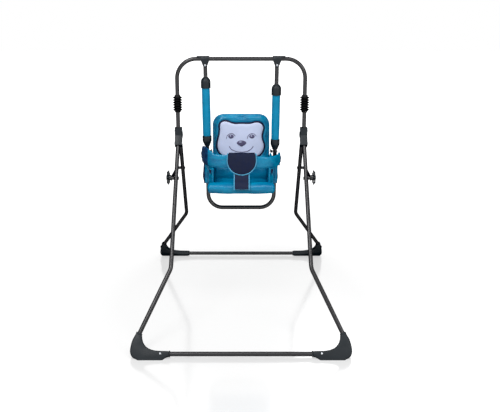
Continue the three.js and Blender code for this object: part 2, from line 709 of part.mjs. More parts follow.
addPair("pivot_bracket", pivotBracket(), FINISHES.blackPlastic);
addPair("bracket_bolt", bracketBolt(), FINISHES.zincSteel);
addPair("hanger_tube", hangerTube(), FINISHES.paintedSteel);
for (const side of ["left", "right"]) sleevePieces(side, SLEEVE_SPANS[side]);

// ---------------------------------------------------------------- seat frame

const seatFrameTop = onHanger(HANGER.bottom - CLEARANCE);
const seatFrameCorner = vec(SEAT.halfWidth + SEAT_FRAME.outsideSeat, 0, SEAT_FRAME.barHeight);

// A U of tube below the hangers. Its ends are drawn down to plug into them.
function seatFrame() {
  const mirror = (point) => point.clone().setX(-point.x);
  const corners = [seatFrameTop, seatFrameCorner, mirror(seatFrameCorner), mirror(seatFrameTop)];
  const swage = SWAGE_DIAMETER / 2;
  const shoulder = HANGER.bottom - CLEARANCE - 0.5;
  const plugs = [];
  const bores = [];
  for (const side of [(point) => point, mirror]) {
    const at = (height) => side(onHanger(height));
    plugs.push(rod(at(shoulder - 5), at(shoulder), (TUBE_RADIUS + TUBE_BORE) / 2));
    plugs.push(rod(at(shoulder - 3), at(HANGER.bottom + SWAGE_LENGTH), swage));
    bores.push(rod(at(shoulder - 10), at(HANGER.bottom + 2 * SWAGE_LENGTH), swage - TUBE_WALL));
    bores.push(throughX(side(seatBoltPoint), BOLT_DIAMETER / 2, 30));
  }
  return cut(join(tubeAlong(new TubeRoute(corners, SEAT_FRAME.bend)), ...plugs), ...bores);
}

const WING_NUT_START = seatBoltPoint.x - TUBE_RADIUS - WING_NUT.hub - 2; // the end towards the child

// The bolt through a hanger's end, with its thread towards the child.
function seatBolt() {
  const at = (x) => seatBoltPoint.clone().setX(x);
  const outer = seatBoltPoint.x + TUBE_RADIUS + CLEARANCE;
  return join(
    rod(at(WING_NUT_START - 2), at(outer + 1), BOLT_DIAMETER / 2),
    rod(at(outer), at(outer + 3.5), 5.5, 12, 4.5),
  );
}

function wingNut() {
  const { hub, wing } = WING_NUT;
  const start = WING_NUT_START;
  const at = (x) => seatBoltPoint.clone().setX(x);
  const { y, z } = seatBoltPoint;
  const wings = outline([
    [y - wing, z + 5],
    [y - 4, z - 4],
    [y + 4, z - 4],
    [y + wing, z + 5],
    [y + wing - 2, z + 9],
    [y + 4, z + 4],
    [y - 4, z + 4],
    [y - wing + 2, z + 9],
  ]);
  return cut(
    join(rod(at(start), at(start + hub), 6, 12, 7), plate(wings, start + 1, start + 5, SIDE_PLANE)),
    throughX(seatBoltPoint, BOLT_DIAMETER / 2),
  );
}

add(swing, "seat_frame_tube", seatFrame(), FINISHES.paintedSteel);
addPair("seat_bolt", seatBolt(), FINISHES.zincSteel);
addPair("wing_nut", wingNut(), FINISHES.blackPlastic);

// ---------------------------------------------------------------- seat boards and pads

function seatBoard() {
  const low = vec(-SEAT.halfWidth + 4, SEAT.roll - 30, SEAT_HEIGHT.boardTop - BOARD_THICKNESS);
  const high = vec(SEAT.halfWidth - 4, SEAT.back, SEAT_HEIGHT.boardTop);
  return box(low, high);
}

// The seat pad: a flat pad between the side panels and a full-width front roll that
// wraps the board's front edge.
function seatPad() {
  const { boardTop, padTop, rollBottom, rollTop } = SEAT_HEIGHT;
  const under = boardTop + CLEARANCE;
  const pad = plate(
    outline([[SEAT.roll - 6, under], [SEAT.back, under], [SEAT.back, padTop], [SEAT.roll - 6, padTop + 14]]),
    -SEAT.halfWidth,
    SEAT.halfWidth,
    SIDE_PLANE,
  );
  const boardFront = SEAT.roll - 30 - CLEARANCE;
  const roll = plate(
    outline([
      [boardFront, under],
      [boardFront, boardTop - BOARD_THICKNESS],
      [SEAT.front + 10, rollBottom],
      [SEAT.front, rollBottom + 11],
      [SEAT.front, rollTop - 16],
      [SEAT.front + 12, rollTop - 3],
      [SEAT.front + 34, rollTop],
      [SEAT.roll, padTop + 14],
      [SEAT.roll, under],
    ]),
    -SEAT.halfWidth - SEAT.rollOverhang,
    SEAT.halfWidth + SEAT.rollOverhang,
    SIDE_PLANE,
  );
  return join(pad, roll);
}

// The back's own plane: X across, and up along the reclined back from its lower edge.
const backUp = vec(0, Math.sin(radians(BACK.recline)), Math.cos(radians(BACK.recline)));
const backPlane = planeOf(vec(-1, 0, 0), backUp, vec(0, BACK.front, BACK.bottom));

function backOutline(inset) {
  const half = SEAT.halfWidth - inset;
  const corner = BACK.corner - inset;
  const top = BACK.height - inset;
  const shape = new THREE.Shape();
  shape.moveTo(-half, inset);
  shape.lineTo(half, inset);
  shape.lineTo(half, top - corner);
  shape.absarc(half - corner, top - corner, corner, 0, Math.PI / 2, false);
  shape.lineTo(-half + corner, top);
  shape.absarc(-half + corner, top - corner, corner, Math.PI / 2, Math.PI, false);
  return shape;
}

const backPad = () => plate(backOutline(0), 0, BACK.thickness, backPlane);
const backBoard = () => {
  const front = BACK.thickness + CLEARANCE;
  return plate(backOutline(6), front, front + BOARD_THICKNESS, backPlane);
};

// ---------------------------------------------------------------- side panels

// A fabric side with a sewn channel round the seat frame's tube, and a front corner that
// closes the gap between the belly band and the seat roll.
function sidePanel() {
  const { thickness, channelWall, top, bottom, channelBottom } = SIDE_PANEL;
  const inner = SEAT.halfWidth + SEAM;
  const outer = inner + thickness;
  const rear = BACK.front + BACK.thickness;
  const rise = Math.tan(radians(BACK.recline));
  const flat = plate(
    outline([
      [rear - 6, bottom],
      [rear - 6 + (top - bottom) * rise, top],
      [-12, top],
      [SEAT.roll + SEAM, BAND.bottom + 4],
      [SEAT.roll + SEAM, bottom],
    ]),
    inner,
    outer,
    SIDE_PLANE,
  );
  const tubeAt = (height) => seatFrameTop.clone().lerp(
    seatFrameCorner,
    (seatFrameTop.z - height) / (seatFrameTop.z - seatFrameCorner.z),
  );
  const channel = rod(tubeAt(channelBottom), tubeAt(top), TUBE_RADIUS + channelWall);
  const passage = rod(tubeAt(bottom - 20), tubeAt(top + 20), clearing(TUBE_RADIUS));
  const cornerLow = SEAT_HEIGHT.rollTop + SEAM;
  const cornerHigh = BAND.bottom - SEAM;
  const corner = plate(
    outline([
      [inner, SEAT.roll + 26],
      [inner, SEAT.roll + 4],
      [inner - 14, SEAT.roll - 24],
      [inner - 8, SEAT.roll - 28],
      [outer, SEAT.roll],
      [outer, SEAT.roll + 26],
    ]),
    cornerLow,
    cornerHigh,
  );
  const middle = vec(inner - 2, SEAT.roll - 12, (cornerLow + cornerHigh) / 2 + 10);
  const outwardsHole = vec(24, -14, 0);
  const slot = rod(middle.clone().sub(outwardsHole), middle.clone().add(outwardsHole), 8);
  return cut(join(flat, channel, corner), passage, slot);
}

// ---------------------------------------------------------------- belly band and straps

// The padded band in front of the child, from one side of the seat frame to the other.
function bellyBand() {
  const { bottom, top, front, thickness, endWall } = BAND;
  const channelOuter = HANGER_BOTTOM_X + TUBE_RADIUS + SIDE_PANEL.channelWall + SEAM;
  const ends = channelOuter + endWall;
  const seat = SEAT.halfWidth;
  const outer = [
    [ends, 12],
    [ends - 1, -20],
    [ends - 13, -66],
    [ends - 30, -96],
    [seat - 15, front + 11],
    [seat - 43, front + 3],
    [seat - 98, front],
  ];
  const inner = [
    [seat - 102, front + thickness],
    [seat - 50, front + thickness + 2],
    [seat - 20, front + thickness + 8],
    [seat + 13, SEAT.roll],
    [seat + 24, -55],
    [channelOuter, -14],
    [channelOuter, 12],
  ];
  const loop = [
    ...outer.map(([x, y]) => [-x, y]),
    ...outer.toReversed(),
    ...inner.toReversed(),
    ...inner.map(([x, y]) => [-x, y]),
  ];
  return plate(outline(loop), bottom, top);
}

// The round bib on the band and the strap from it down to the seat's front roll.
function crotchStrap() {
  const { halfWidth, top, bottom, thickness } = BIB;
  const faceBack = -BAND.front + SEAM;
  const shape = new THREE.Shape();
  shape.moveTo(halfWidth, top);
  shape.lineTo(-halfWidth, top);
  shape.lineTo(-halfWidth, bottom + halfWidth);
  shape.absarc(0, bottom + halfWidth, halfWidth, Math.PI, 2 * Math.PI, false);
  const bib = plate(shape, -faceBack - thickness, -faceBack, FRONT_PLANE);
  const low = SEAT.front - SEAM;
  const strap = plate(
    outline([
      [-faceBack, BAND.bottom - 12],
      [-faceBack - thickness, BAND.bottom - 6],
      [low - STRAP.thickness, SEAT_HEIGHT.rollTop - 12],
      [low - STRAP.thickness, STRAP.bottom],
      [low, STRAP.bottom],
      [low, SEAT_HEIGHT.rollTop - 14],
      [low + 10, SEAT_HEIGHT.rollTop + 3],
    ]),
    -STRAP.halfWidth,
    STRAP.halfWidth,
    SIDE_PLANE,
  );
  return join(bib, strap);
}

add(swing, "seat_board", seatBoard(), FINISHES.plywood);
add(swing, "back_board", backBoard(), FINISHES.plywood);
add(swing, "seat_pad", seatPad(), FINISHES.blueVinyl);
add(swing, "back_pad", backPad(), FINISHES.blueVinyl);
addPair("side_panel", sidePanel(), FINISHES.blueVinyl);
add(swing, "belly_band", bellyBand(), FINISHES.blueVinyl);
add(swing, "crotch_strap", crotchStrap(), FINISHES.navyFabric);

export default swing;
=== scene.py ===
"""The looks of a toddler swing on a folding tube stand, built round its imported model.

Sizes are millimetres until they reach a mesh, which is in metres. +Z is up, the child
faces -Y, and "left" is the -X side.
"""

import math

import bmesh
import bpy
from bpy.props import FloatProperty, FloatVectorProperty, IntProperty, PointerProperty
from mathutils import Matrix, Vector, noise
from mathutils.bvhtree import BVHTree


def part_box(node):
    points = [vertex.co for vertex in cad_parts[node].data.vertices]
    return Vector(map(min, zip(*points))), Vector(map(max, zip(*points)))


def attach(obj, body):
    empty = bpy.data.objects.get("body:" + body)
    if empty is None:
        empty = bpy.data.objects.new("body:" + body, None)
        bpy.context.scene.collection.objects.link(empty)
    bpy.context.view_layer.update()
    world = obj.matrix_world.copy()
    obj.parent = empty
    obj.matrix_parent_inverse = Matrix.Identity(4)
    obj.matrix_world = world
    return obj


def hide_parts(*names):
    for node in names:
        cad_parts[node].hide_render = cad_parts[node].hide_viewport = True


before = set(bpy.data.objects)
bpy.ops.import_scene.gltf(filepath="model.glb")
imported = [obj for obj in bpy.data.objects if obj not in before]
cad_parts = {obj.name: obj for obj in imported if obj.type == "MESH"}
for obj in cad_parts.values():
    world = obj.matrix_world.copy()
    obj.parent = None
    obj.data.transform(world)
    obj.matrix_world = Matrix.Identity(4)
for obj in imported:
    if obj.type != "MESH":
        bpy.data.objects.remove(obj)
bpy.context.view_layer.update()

bl_info = {
    "name": "Toddler swing looks",
    "version": (1, 0, 0),
    "blender": (4, 5, 0),
    "location": "3D View > Sidebar > Swing",
    "description": "Builds the tubes, mouldings and padded seat of a toddler swing",
    "category": "Object",
}

FLOOR_NEAR = 0.48  # how white the floor shows near the swing; further away it is 1
FLOOR_FADE = (0.6, 2.6)  # metres from the middle between which it gets there
WORLD_LIGHT = 0.45  # how strongly the white surroundings light the swing
# Each lamp's place, its power in watts and its width and depth in metres.
LAMPS = {
    "key": ((-1.3, -2.4, 2.9), 34, 1.0, 1.0),
    "fill": ((2.2, -2.2, 2.0), 20, 0.9, 0.9),
    "top": ((0, -1.2, 3.3), 44, 3.2, 0.9),
    "rear": ((1.2, 2.8, 2.6), 18, 1.6, 1.6),
}
LAMPS_AIM = Vector((0, 0, 0.6))
CAMERA_PLACE, CAMERA_TILT = (0, -3.215, 1.507), 15.45  # the tilt is in degrees downwards
CAMERA_LENS, CAMERA_SHIFT = 49.97, (0.0178, -0.052)
SIDES = {"left": -1, "right": 1}
X_AXIS, Y_AXIS, Z_AXIS = Vector((1, 0, 0)), Vector((0, 1, 0)), Vector((0, 0, 1))

# ------------------------------------------------------------ the stand's own dimensions

TUBE_WALL = 1.2
BORE = 9.9  # radius of what slides over or grips a tube
ARCH_HALF_WIDTH = 296
BAR_HEIGHT = 1195
ARCH_BEND = 90
ARCH_END_HEIGHT = 985
HINGE_HEIGHT = 835
UPRIGHT_BOTTOM = HINGE_HEIGHT + 6
FOOT_DEPTH = 580
FOOT_BAR_HEIGHT = 15
FOOT_BAR_HALF_LENGTH = 430
LEG_BEND = 80
# Each leg's top, knee and end, outwards from the upright or the foot bar's end, and up
# the leg from the foot bar.
LEGS = {
    "front": {"hinge_y": 0, "side": -1, "top_out": 0, "top_gap": 14, "knee_out": 13.5,
              "knee_up": 368, "end_past": 20, "end_up": 50},
    "rear": {"hinge_y": 30, "side": 1, "top_out": -4, "top_gap": -9, "knee_out": -1,
             "knee_up": 381, "end_past": 28, "end_up": 60},
}
SEAT_HALF = 138.5
HANGER_TOP = (165, 0, 1184.5)
HANGER_BOTTOM = (160, 0, 745)
SEAT_FRAME_CORNER = (157.5, 0, 481)
SEAT_FRAME_BEND = 68
BACK = {"bottom": 578, "height": 350, "front": 32, "recline": 4, "corner": 52, "depth": 37.3}


def point(x, y, z):
    """A place given in millimetres."""
    return Vector((x, y, z)) / 1000


def colour(code):
    """An sRGB hex value as the linear colour that shaders take."""
    parts = [int(code[i : i + 2], 16) / 255 for i in (1, 3, 5)]
    linear = [c / 12.92 if c <= 0.04045 else ((c + 0.055) / 1.055) ** 2.4 for c in parts]
    return (*linear, 1.0)


# ------------------------------------------------------------ what a user would change


def length_property(name, description, default, high=0.1):
    return FloatProperty(
        name=name, description=description, default=default, min=0.0002, max=high,
        unit="LENGTH", precision=4,
    )


def colour_property(name, description, code):
    return FloatVectorProperty(
        name=name, description=description, default=colour(code)[:3], size=3,
        min=0, max=1, subtype="COLOR",
    )


class SwingSizes(bpy.types.PropertyGroup):
    """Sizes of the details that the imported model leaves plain."""

    tube_diameter: length_property("Tube diameter", "Outside diameter of the frame tube", 0.019)
    tube_sides: IntProperty(
        name="Tube sides", description="Flats round a tube", default=40, min=12, max=96,
    )
    boot_rounding: length_property("Boot rounding", "Radius along a boot's edges", 0.006)
    knob_rounding: length_property("Knob rounding", "Radius along a knob's lobes", 0.0035)
    gaiter_rib: length_property("Gaiter rib depth", "How far a gaiter's ribs stand out", 0.008)
    piping: length_property("Piping radius", "Radius of the sewn-in piping", 0.0024)
    cushion_swell: length_property("Cushion swell", "How far a cushion may puff out", 0.008)


class SwingColours(bpy.types.PropertyGroup):
    """The colours of the swing's finishes."""

    paint: colour_property("Frame paint", "Charcoal powder coat on the tubes", "#100f14")
    plastic: colour_property("Plastic", "Moulded black plastic", "#0f171d")
    rubber: colour_property("Rubber", "Gaiters on the uprights", "#09090b")
    zinc: colour_property("Zinc plate", "Bolts and screws", "#b4b7bb")
    foam: colour_property("Foam sleeve", "Cloth over the foam sleeves", "#0286b0")
    vinyl: colour_property("Seat vinyl", "Glossy coated cloth of the seat", "#0187b0")
    # Painted shade: the vinyl darkens to this colour in the hollows of its folds.
    vinyl_fold_shade: colour_property("Seat vinyl, deep", "Where the coated cloth folds", "#01709c")
    # Painted shade as well: this dark colour covers the shaded left end of the band and the left
    # side seam.
    lining_and_shade: colour_property("Lining", "Uncoated back of the gathered seat cloth", "#0b3158")
    navy: colour_property("Navy cloth", "Bib and strap", "#111a36")
    binding: colour_property("Binding", "Navy edge binding and outline", "#0b1336")
    piping: colour_property("Piping", "Light piping round bib and strap", "#58a9cf")
    patch: colour_property("Face patch", "Pale satin of the bear patch", "#ccd4ee")
    ink: colour_property("Face print", "The bear's eyes, nose and smile", "#5c5775")


# ------------------------------------------------------------ materials


def add_node(tree, kind, inputs=None, **settings):
    """A shader node with its settings, values and links."""
    made = tree.nodes.new("ShaderNode" + kind)
    for key, value in settings.items():
        setattr(made, key, value)
    for key, value in (inputs or {}).items():
        if isinstance(value, bpy.types.NodeSocket):
            tree.links.new(value, made.inputs[key])
        else:
            made.inputs[key].default_value = value
    return made


def ramp(tree, source, low, high, low_at=0.3, high_at=0.7):
    """Two colours, one below `low_at` of the source and the other above `high_at`."""
    made = add_node(tree, "ValToRGB", {"Fac": source})
    first, last = made.color_ramp.elements
    first.position, first.color = low_at, low
    last.position, last.color = high_at, high
    return made.outputs["Color"]


def grey(value):
    return (value, value, value, 1.0)


def shaded(rgb, factor):
    """A linear colour made lighter or darker."""
    return (*[min(1.0, c * factor) for c in rgb[:3]], 1.0)


def surface(name, **values):
    """A new material: its node tree, its shader and its Object coordinates."""
    made = bpy.data.materials.new(name)
    made.use_nodes = True
    tree = made.node_tree
    shader = tree.nodes["Principled BSDF"]
    for key, value in values.items():
        shader.inputs[key.replace("_", " ")].default_value = value
    where = add_node(tree, "TexCoord").outputs["Object"]
    return made, tree, shader, where


def textured(tree, shader, where, base, spread, patch_mm, grain_mm, depth_mm, rough):
    """Colour that drifts over `patch_mm`, and a bump of `grain_mm` with varied gloss."""
    drift = add_node(tree, "TexNoise", {"Vector": where, "Scale": 1000 / patch_mm, "Detail": 3.0})
    grain = add_node(tree, "TexNoise", {"Vector": where, "Scale": 1000 / grain_mm, "Detail": 2.0})
    tint = ramp(tree, drift.outputs["Fac"], shaded(base, 1 - spread), shaded(base, 1 + spread))
    gloss = ramp(tree, drift.outputs["Fac"], grey(rough[0]), grey(rough[1]))
    bump = add_node(
        tree, "Bump",
        {"Height": grain.outputs["Fac"], "Distance": depth_mm / 1000, "Strength": 1.0},
    )
    tree.links.new(tint, shader.inputs["Base Color"])
    tree.links.new(gloss, shader.inputs["Roughness"])
    tree.links.new(bump.outputs["Normal"], shader.inputs["Normal"])
    return bump


def dark_rim(tree, shader, level, coat=0.0):
    """Less gloss where a surface turns away: painted shade that keeps its outline dark."""
    facing = add_node(tree, "LayerWeight", {"Blend": 0.5}).outputs["Facing"]
    for socket, value in (("Specular IOR Level", level), ("Coat Weight", coat)):
        if value:
            fade = add_node(tree, "MapRange", {"Value": facing, "From Min": 0.08,
                                               "From Max": 0.45, "To Min": value, "To Max": 0.0})
            tree.links.new(fade.outputs["Result"], shader.inputs[socket])


def painted_steel(colours):
    """Powder-coated mild steel: an even satin skin with a faint orange peel."""
    made, tree, shader, where = surface("powder_coated_steel", IOR=1.5)
    dark_rim(tree, shader, 0.55)
    textured(tree, shader, where, colours.paint, 0.08, 60, 1.6, 0.02, (0.2, 0.26))
    return made


def moulded_plastic(colours):
    """Injection-moulded ABS from a spark-eroded tool: black, satin, finely pebbled."""
    made, tree, shader, where = surface("moulded_abs", IOR=1.5)
    dark_rim(tree, shader, 0.3)
    textured(tree, shader, where, colours.plastic, 0.12, 45, 0.9, 0.06, (0.38, 0.5))
    return made


def glossy_plastic(colours):
    """The knobs' polished ABS, which mirrors the lamps."""
    made, tree, shader, where = surface("polished_abs", IOR=1.53)
    dark_rim(tree, shader, 0.4, 0.4)
    textured(tree, shader, where, colours.plastic, 0.1, 40, 2.5, 0.02, (0.14, 0.24))
    return made


def moulded_rubber(colours):
    """Soft moulded rubber: matt, its tone varying in patches."""
    made, tree, shader, where = surface("moulded_rubber", IOR=1.52)
    dark_rim(tree, shader, 0.2)
    textured(tree, shader, where, colours.rubber, 0.25, 20, 1.2, 0.08, (0.55, 0.8))
    return made


def zinc_plate(colours):
    """Bright zinc-plated steel, faintly mottled."""
    made, tree, shader, where = surface("zinc_plated_steel", Metallic=1.0)
    textured(tree, shader, where, colours.zinc, 0.08, 6, 0.8, 0.02, (0.22, 0.36))
    return made


def woven(name, base, thread_mm, depth_mm, rough, sheen, spread=0.12, drift_mm=35.0):
    """A plain weave: threads cross in Object space, and the colour drifts a little."""
    made, tree, shader, where = surface(name, IOR=1.46, Sheen_Weight=sheen)
    dark_rim(tree, shader, 0.25)
    shader.inputs["Sheen Roughness"].default_value = 0.4
    bump = textured(tree, shader, where, base, spread, drift_mm, 9.0, 0.25, rough)
    heights = []
    for direction in ("X", "Z"):
        heights.append(
            add_node(
                tree, "TexWave",
                {"Vector": where, "Scale": 1000 / thread_mm / 20, "Distortion": 0.6,
                 "Detail": 1.0, "Detail Scale": 2.0},
                wave_type="BANDS", bands_direction=direction, wave_profile="SIN",
            ).outputs["Fac"]
        )
    cross = add_node(tree, "Math", {0: heights[0], 1: heights[1]}, operation="MAXIMUM")
    threads = add_node(
        tree, "Bump",
        {"Height": cross.outputs["Value"], "Distance": depth_mm / 1000, "Strength": 0.7,
         "Normal": bump.outputs["Normal"]},
    )
    tree.links.new(threads.outputs["Normal"], shader.inputs["Normal"])
    return made


def coated_vinyl(name, light, deep, rough):
    """PVC-coated nylon: a wet gloss over fine creases, with painted shade in the hollows of its
    folds.
    """
    made, tree, shader, where = surface(name, IOR=1.5)
    dark_rim(tree, shader, 0.15, 0.25)
    shader.inputs["Coat Roughness"].default_value = 0.08
    long_way = add_node(tree, "Mapping", {"Vector": where, "Scale": (0.45, 1.0, 1.7)})
    folds = add_node(
        tree, "TexNoise",
        {"Vector": long_way.outputs["Vector"], "Scale": 1000 / 38, "Detail": 3.0,
         "Distortion": 0.6},
    )
    creases = add_node(
        tree, "TexNoise",
        {"Vector": long_way.outputs["Vector"], "Scale": 1000 / 9, "Detail": 4.0,
         "Distortion": 1.4},
    )
    grain = add_node(tree, "TexVoronoi", {"Vector": where, "Scale": 1000 / 1.4})
    # Painted shade: the colour darkens where the fold noise dips, the same noise that raises the
    # folds' bump.
    tint = ramp(tree, folds.outputs["Fac"], (*deep[:3], 1.0), (*light[:3], 1.0), 0.36, 0.6)
    gloss = ramp(tree, creases.outputs["Fac"], grey(rough[0]), grey(rough[1]))
    soft = add_node(
        tree, "Bump", {"Height": folds.outputs["Fac"], "Distance": 0.004, "Strength": 0.6},
    )
    fine = add_node(
        tree, "Bump",
        {"Height": creases.outputs["Fac"], "Distance": 0.0006, "Strength": 0.6,
         "Normal": soft.outputs["Normal"]},
    )
    last = add_node(
        tree, "Bump",
        {"Height": grain.outputs["Distance"], "Distance": 0.0001, "Strength": 0.4,
         "Normal": fine.outputs["Normal"]},
    )
    tree.links.new(tint, shader.inputs["Base Color"])
    tree.links.new(gloss, shader.inputs["Roughness"])
    tree.links.new(last.outputs["Normal"], shader.inputs["Normal"])
    return made


MAKERS = {
    "steel": painted_steel,
    "plastic": moulded_plastic,
    "gloss": glossy_plastic,
    "rubber": moulded_rubber,
    "zinc": zinc_plate,
    "vinyl": lambda c: coated_vinyl("pvc_coated_nylon", c.vinyl, c.vinyl_fold_shade, (0.2, 0.36)),
    "lining_and_shade": lambda c: woven("nylon_back_and_shade", c.lining_and_shade, 1.8, 0.1, (0.6, 0.8), 0.05, 0.5, 16.0),
    # The threads are really 0.3 mm apart; they are drawn wider so that they show.
    "foam": lambda c: woven("foam_cover_nylon", c.foam, 1.6, 0.08, (0.55, 0.7), 0.08, 0.1, 40.0),
    "navy": lambda c: woven("navy_polyester", c.navy, 2.2, 0.16, (0.6, 0.8), 0.12, 0.2, 18.0),
    "binding": lambda c: woven("navy_binding_tape", c.binding, 1.5, 0.08, (0.45, 0.6), 0.06),
    "piping": lambda c: woven("blue_piping_cloth", c.piping, 1.2, 0.06, (0.4, 0.55), 0.1),
    "patch": lambda c: woven("pale_satin", c.patch, 1.4, 0.05, (0.42, 0.6), 0.1, 0.05, 50.0),
    "ink": lambda c: woven("grey_satin_stitch", c.ink, 1.1, 0.08, (0.45, 0.6), 0.05),
}


def finish_named(key):
    """The material for a finish, made when it is first asked for."""
    label = "finish_" + key
    store = bpy.context.scene
    if label not in store:
        made = MAKERS[key](store.swing_colours)
        store[label] = made.name
    return bpy.data.materials[store[label]]


# ------------------------------------------------------------ mesh helpers


def piece(name, bm, finish, body, slot=None, replaces=(), sharp=35):
    """A finished piece from a bmesh: outward faces, smooth shading, its finish and body."""
    bmesh.ops.remove_doubles(bm, verts=bm.verts, dist=1e-6)
    bmesh.ops.recalc_face_normals(bm, faces=bm.faces)
    mesh = bpy.data.meshes.new(name)
    bm.to_mesh(mesh)
    bm.free()
    mesh.shade_smooth()
    mesh.set_sharp_from_angle(angle=math.radians(sharp))
    made = bpy.data.objects.new(name, mesh)
    bpy.context.scene.collection.objects.link(made)
    mesh.materials.append(finish_named(finish))
    if body:
        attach(made, body)
    if replaces:
        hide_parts(*replaces)
    return made


def painted(name, bm, body, node):
    """A powder-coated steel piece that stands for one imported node."""
    return piece(name, bm, "steel", body, "frame_paint", [node])


def moulded(name, bm, body, node):
    """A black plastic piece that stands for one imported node."""
    return piece(name, bm, "plastic", body, "black_plastic", [node])


def subdivided(made):
    smooth = made.modifiers.new("Subdivision", "SUBSURF")
    smooth.levels = smooth.render_levels = 1
    return made


def sewn_on(child, parent):
    """A small piece that goes with a larger one."""
    child.parent = parent
    return child


def trim(name, bm, finish, slot, parent):
    """A small piece sewn on a larger one, with which it moves."""
    return sewn_on(piece(name, bm, finish, None, slot), parent)


def capped(bm):
    """The mesh with its open ends closed."""
    open_edges = [e for e in bm.edges if len(e.link_faces) == 1]
    bmesh.ops.holes_fill(bm, edges=open_edges, sides=0)
    return bm


def rounded(bm, geom, offset, segments, affect="EDGES"):
    """The mesh with a round of radius `offset` along some of its edges or corners."""
    bmesh.ops.bevel(
        bm, geom=geom, offset=offset, segments=segments, profile=0.5, affect=affect,
        material=-1, clamp_overlap=True,
    )
    return bm


def sharp_edges(bm, angle, shortest=0.0):
    """The edges that turn by more than `angle` degrees and are longer than `shortest`."""
    return [
        e for e in bm.edges
        if len(e.link_faces) == 2
        and e.calc_face_angle() > math.radians(angle)
        and e.calc_length() > shortest
    ]


def merged(*meshes):
    """Several bmeshes as one."""
    whole = bmesh.new()
    for bm in meshes:
        spare = bpy.data.meshes.new("spare")
        bmesh.ops.recalc_face_normals(bm, faces=bm.faces)
        bm.to_mesh(spare)
        bm.free()
        whole.from_mesh(spare)
        bpy.data.meshes.remove(spare)
    return whole


def loft(rings, closed=True):
    """A surface through rings of equally many points."""
    count = len(rings[0])
    across = count if closed else count - 1
    along = len(rings) - 1
    bm = bmesh.new()
    bmesh.ops.create_grid(bm, x_segments=along, y_segments=across, size=1)
    for vert in bm.verts:
        i = round((vert.co.x + 1) / 2 * along)
        j = round((vert.co.y + 1) / 2 * across)
        vert.co = rings[i][j % count]
    bmesh.ops.remove_doubles(bm, verts=bm.verts, dist=1e-7)
    return bm


def ring(centre, across, up, radius, count):
    turn = 2 * math.pi / count
    return [
        centre + (across * math.cos(i * turn) + up * math.sin(i * turn)) * radius
        for i in range(count)
    ]


def bent_route(corners, bend_radius, step=6):
    """Stations (place, heading) along straight runs joined by round bends."""
    heading = [(b - a).normalized() for a, b in zip(corners, corners[1:])]
    stations = [(corners[0], heading[0])]
    for corner, before, after in zip(corners[1:], heading, heading[1:]):
        turn = before.angle(after)
        inwards = (after - before * before.dot(after)).normalized()
        start = corner - before * bend_radius * math.tan(turn / 2)
        steps = max(3, math.ceil(math.degrees(turn) / step))
        for k in range(steps + 1):
            angle = turn * k / steps
            place = start + before * bend_radius * math.sin(angle)
            place += inwards * bend_radius * (1 - math.cos(angle))
            stations.append((place, before * math.cos(angle) + inwards * math.sin(angle)))
    stations.append((corners[-1], heading[-1]))
    return stations


def tube(stations, side, radius, wall=TUBE_WALL / 1000, count=None):
    """A round tube through stations that lie in one plane square to `side`. Its ends are
    open to a short bore."""
    count = count or bpy.context.scene.swing_sizes.tube_sides

    def at(station, r, shift=0.0):
        place, heading = station
        return ring(place + heading * shift, side, heading.cross(side), r, count)

    bore = 0.02
    edge = 0.0004
    first, last = stations[0], stations[-1]
    rings = [at(first, 1e-5, bore), at(first, radius - wall, bore), at(first, radius - wall)]
    rings += [at(first, radius - edge), at(first, radius, edge)]
    rings += [at(station, radius) for station in stations[1:-1]]
    rings += [at(last, radius, -edge), at(last, radius - edge)]
    rings += [at(last, radius - wall), at(last, radius - wall, -bore), at(last, 1e-5, -bore)]
    return loft(rings)


def cord_along(places, radius, count=10, closed=False):
    """A thin round cord through places, with rounded ends unless it is closed."""
    total = len(places)
    rings = []
    normal = None
    for i, place in enumerate(places):
        before = places[i - 1] if closed or i else place
        after = places[(i + 1) % total] if closed or i < total - 1 else place
        heading = (after - before).normalized()
        if normal is None:
            normal = heading.orthogonal().normalized()
        normal = (normal - heading * normal.dot(heading)).normalized()
        rings.append(ring(place, normal, heading.cross(normal), radius, count))
    if closed:
        # The last ring turns back to match the first, so that the seam closes.
        shift = min(
            range(count),
            key=lambda s: sum(
                (rings[0][(j + s) % count] - rings[-1][j]).length for j in range(count)
            ),
        )
        rings.append([rings[0][(j + shift) % count] for j in range(count)])
        return loft(rings)
    for end, other in ((0, 1), (-1, -2)):
        out = (places[end] - places[other]).normalized() * radius * 0.5
        cap = [places[end] + (p - places[end]) * 0.7 + out * 0.7 for p in rings[end]]
        tip = [places[end] + out for _ in rings[end]]
        rings = [tip, cap, *rings] if end == 0 else [*rings, cap, tip]
    return loft(rings)


def turned(profile, base, axis, steps=48, rounding=0.0, segments=3):
    """A [radius, height] outline in millimetres, spun about an axis through `base`."""
    axis = axis.normalized()
    out = Y_AXIS if abs(axis.y) < 0.9 else X_AXIS
    out = (out - axis * out.dot(axis)).normalized()
    bm = bmesh.new()
    verts = [bm.verts.new(base + out * r / 1000 + axis * h / 1000) for r, h in profile]
    for a, b in zip(verts, verts[1:]):
        bm.edges.new((a, b))
    closed = profile[0][0] > 0.01 or profile[-1][0] > 0.01
    if closed:
        bm.edges.new((verts[-1], verts[0]))
    if rounding:
        corners = [v for v in bm.verts if len(v.link_edges) == 2]
        rounded(bm, corners, rounding / 1000, segments, affect="VERTICES")
    bmesh.ops.spin(
        bm, geom=bm.verts[:] + bm.edges[:], cent=base, axis=axis, angle=2 * math.pi,
        steps=steps, use_merge=True, use_duplicate=False,
    )
    bmesh.ops.remove_doubles(bm, verts=bm.verts, dist=1e-6)
    return bm


def slab(outline, depth, rounding, segments=3):
    """A flat outline (3D places in one plane) given a depth and rounded edges."""
    bm = bmesh.new()
    face = bm.faces.new([bm.verts.new(p) for p in outline])
    made = bmesh.ops.extrude_face_region(bm, geom=[face])
    bmesh.ops.translate(
        bm, vec=depth, verts=[g for g in made["geom"] if isinstance(g, bmesh.types.BMVert)]
    )
    bmesh.ops.recalc_face_normals(bm, faces=bm.faces)
    return rounded(bm, sharp_edges(bm, 25), rounding, segments)


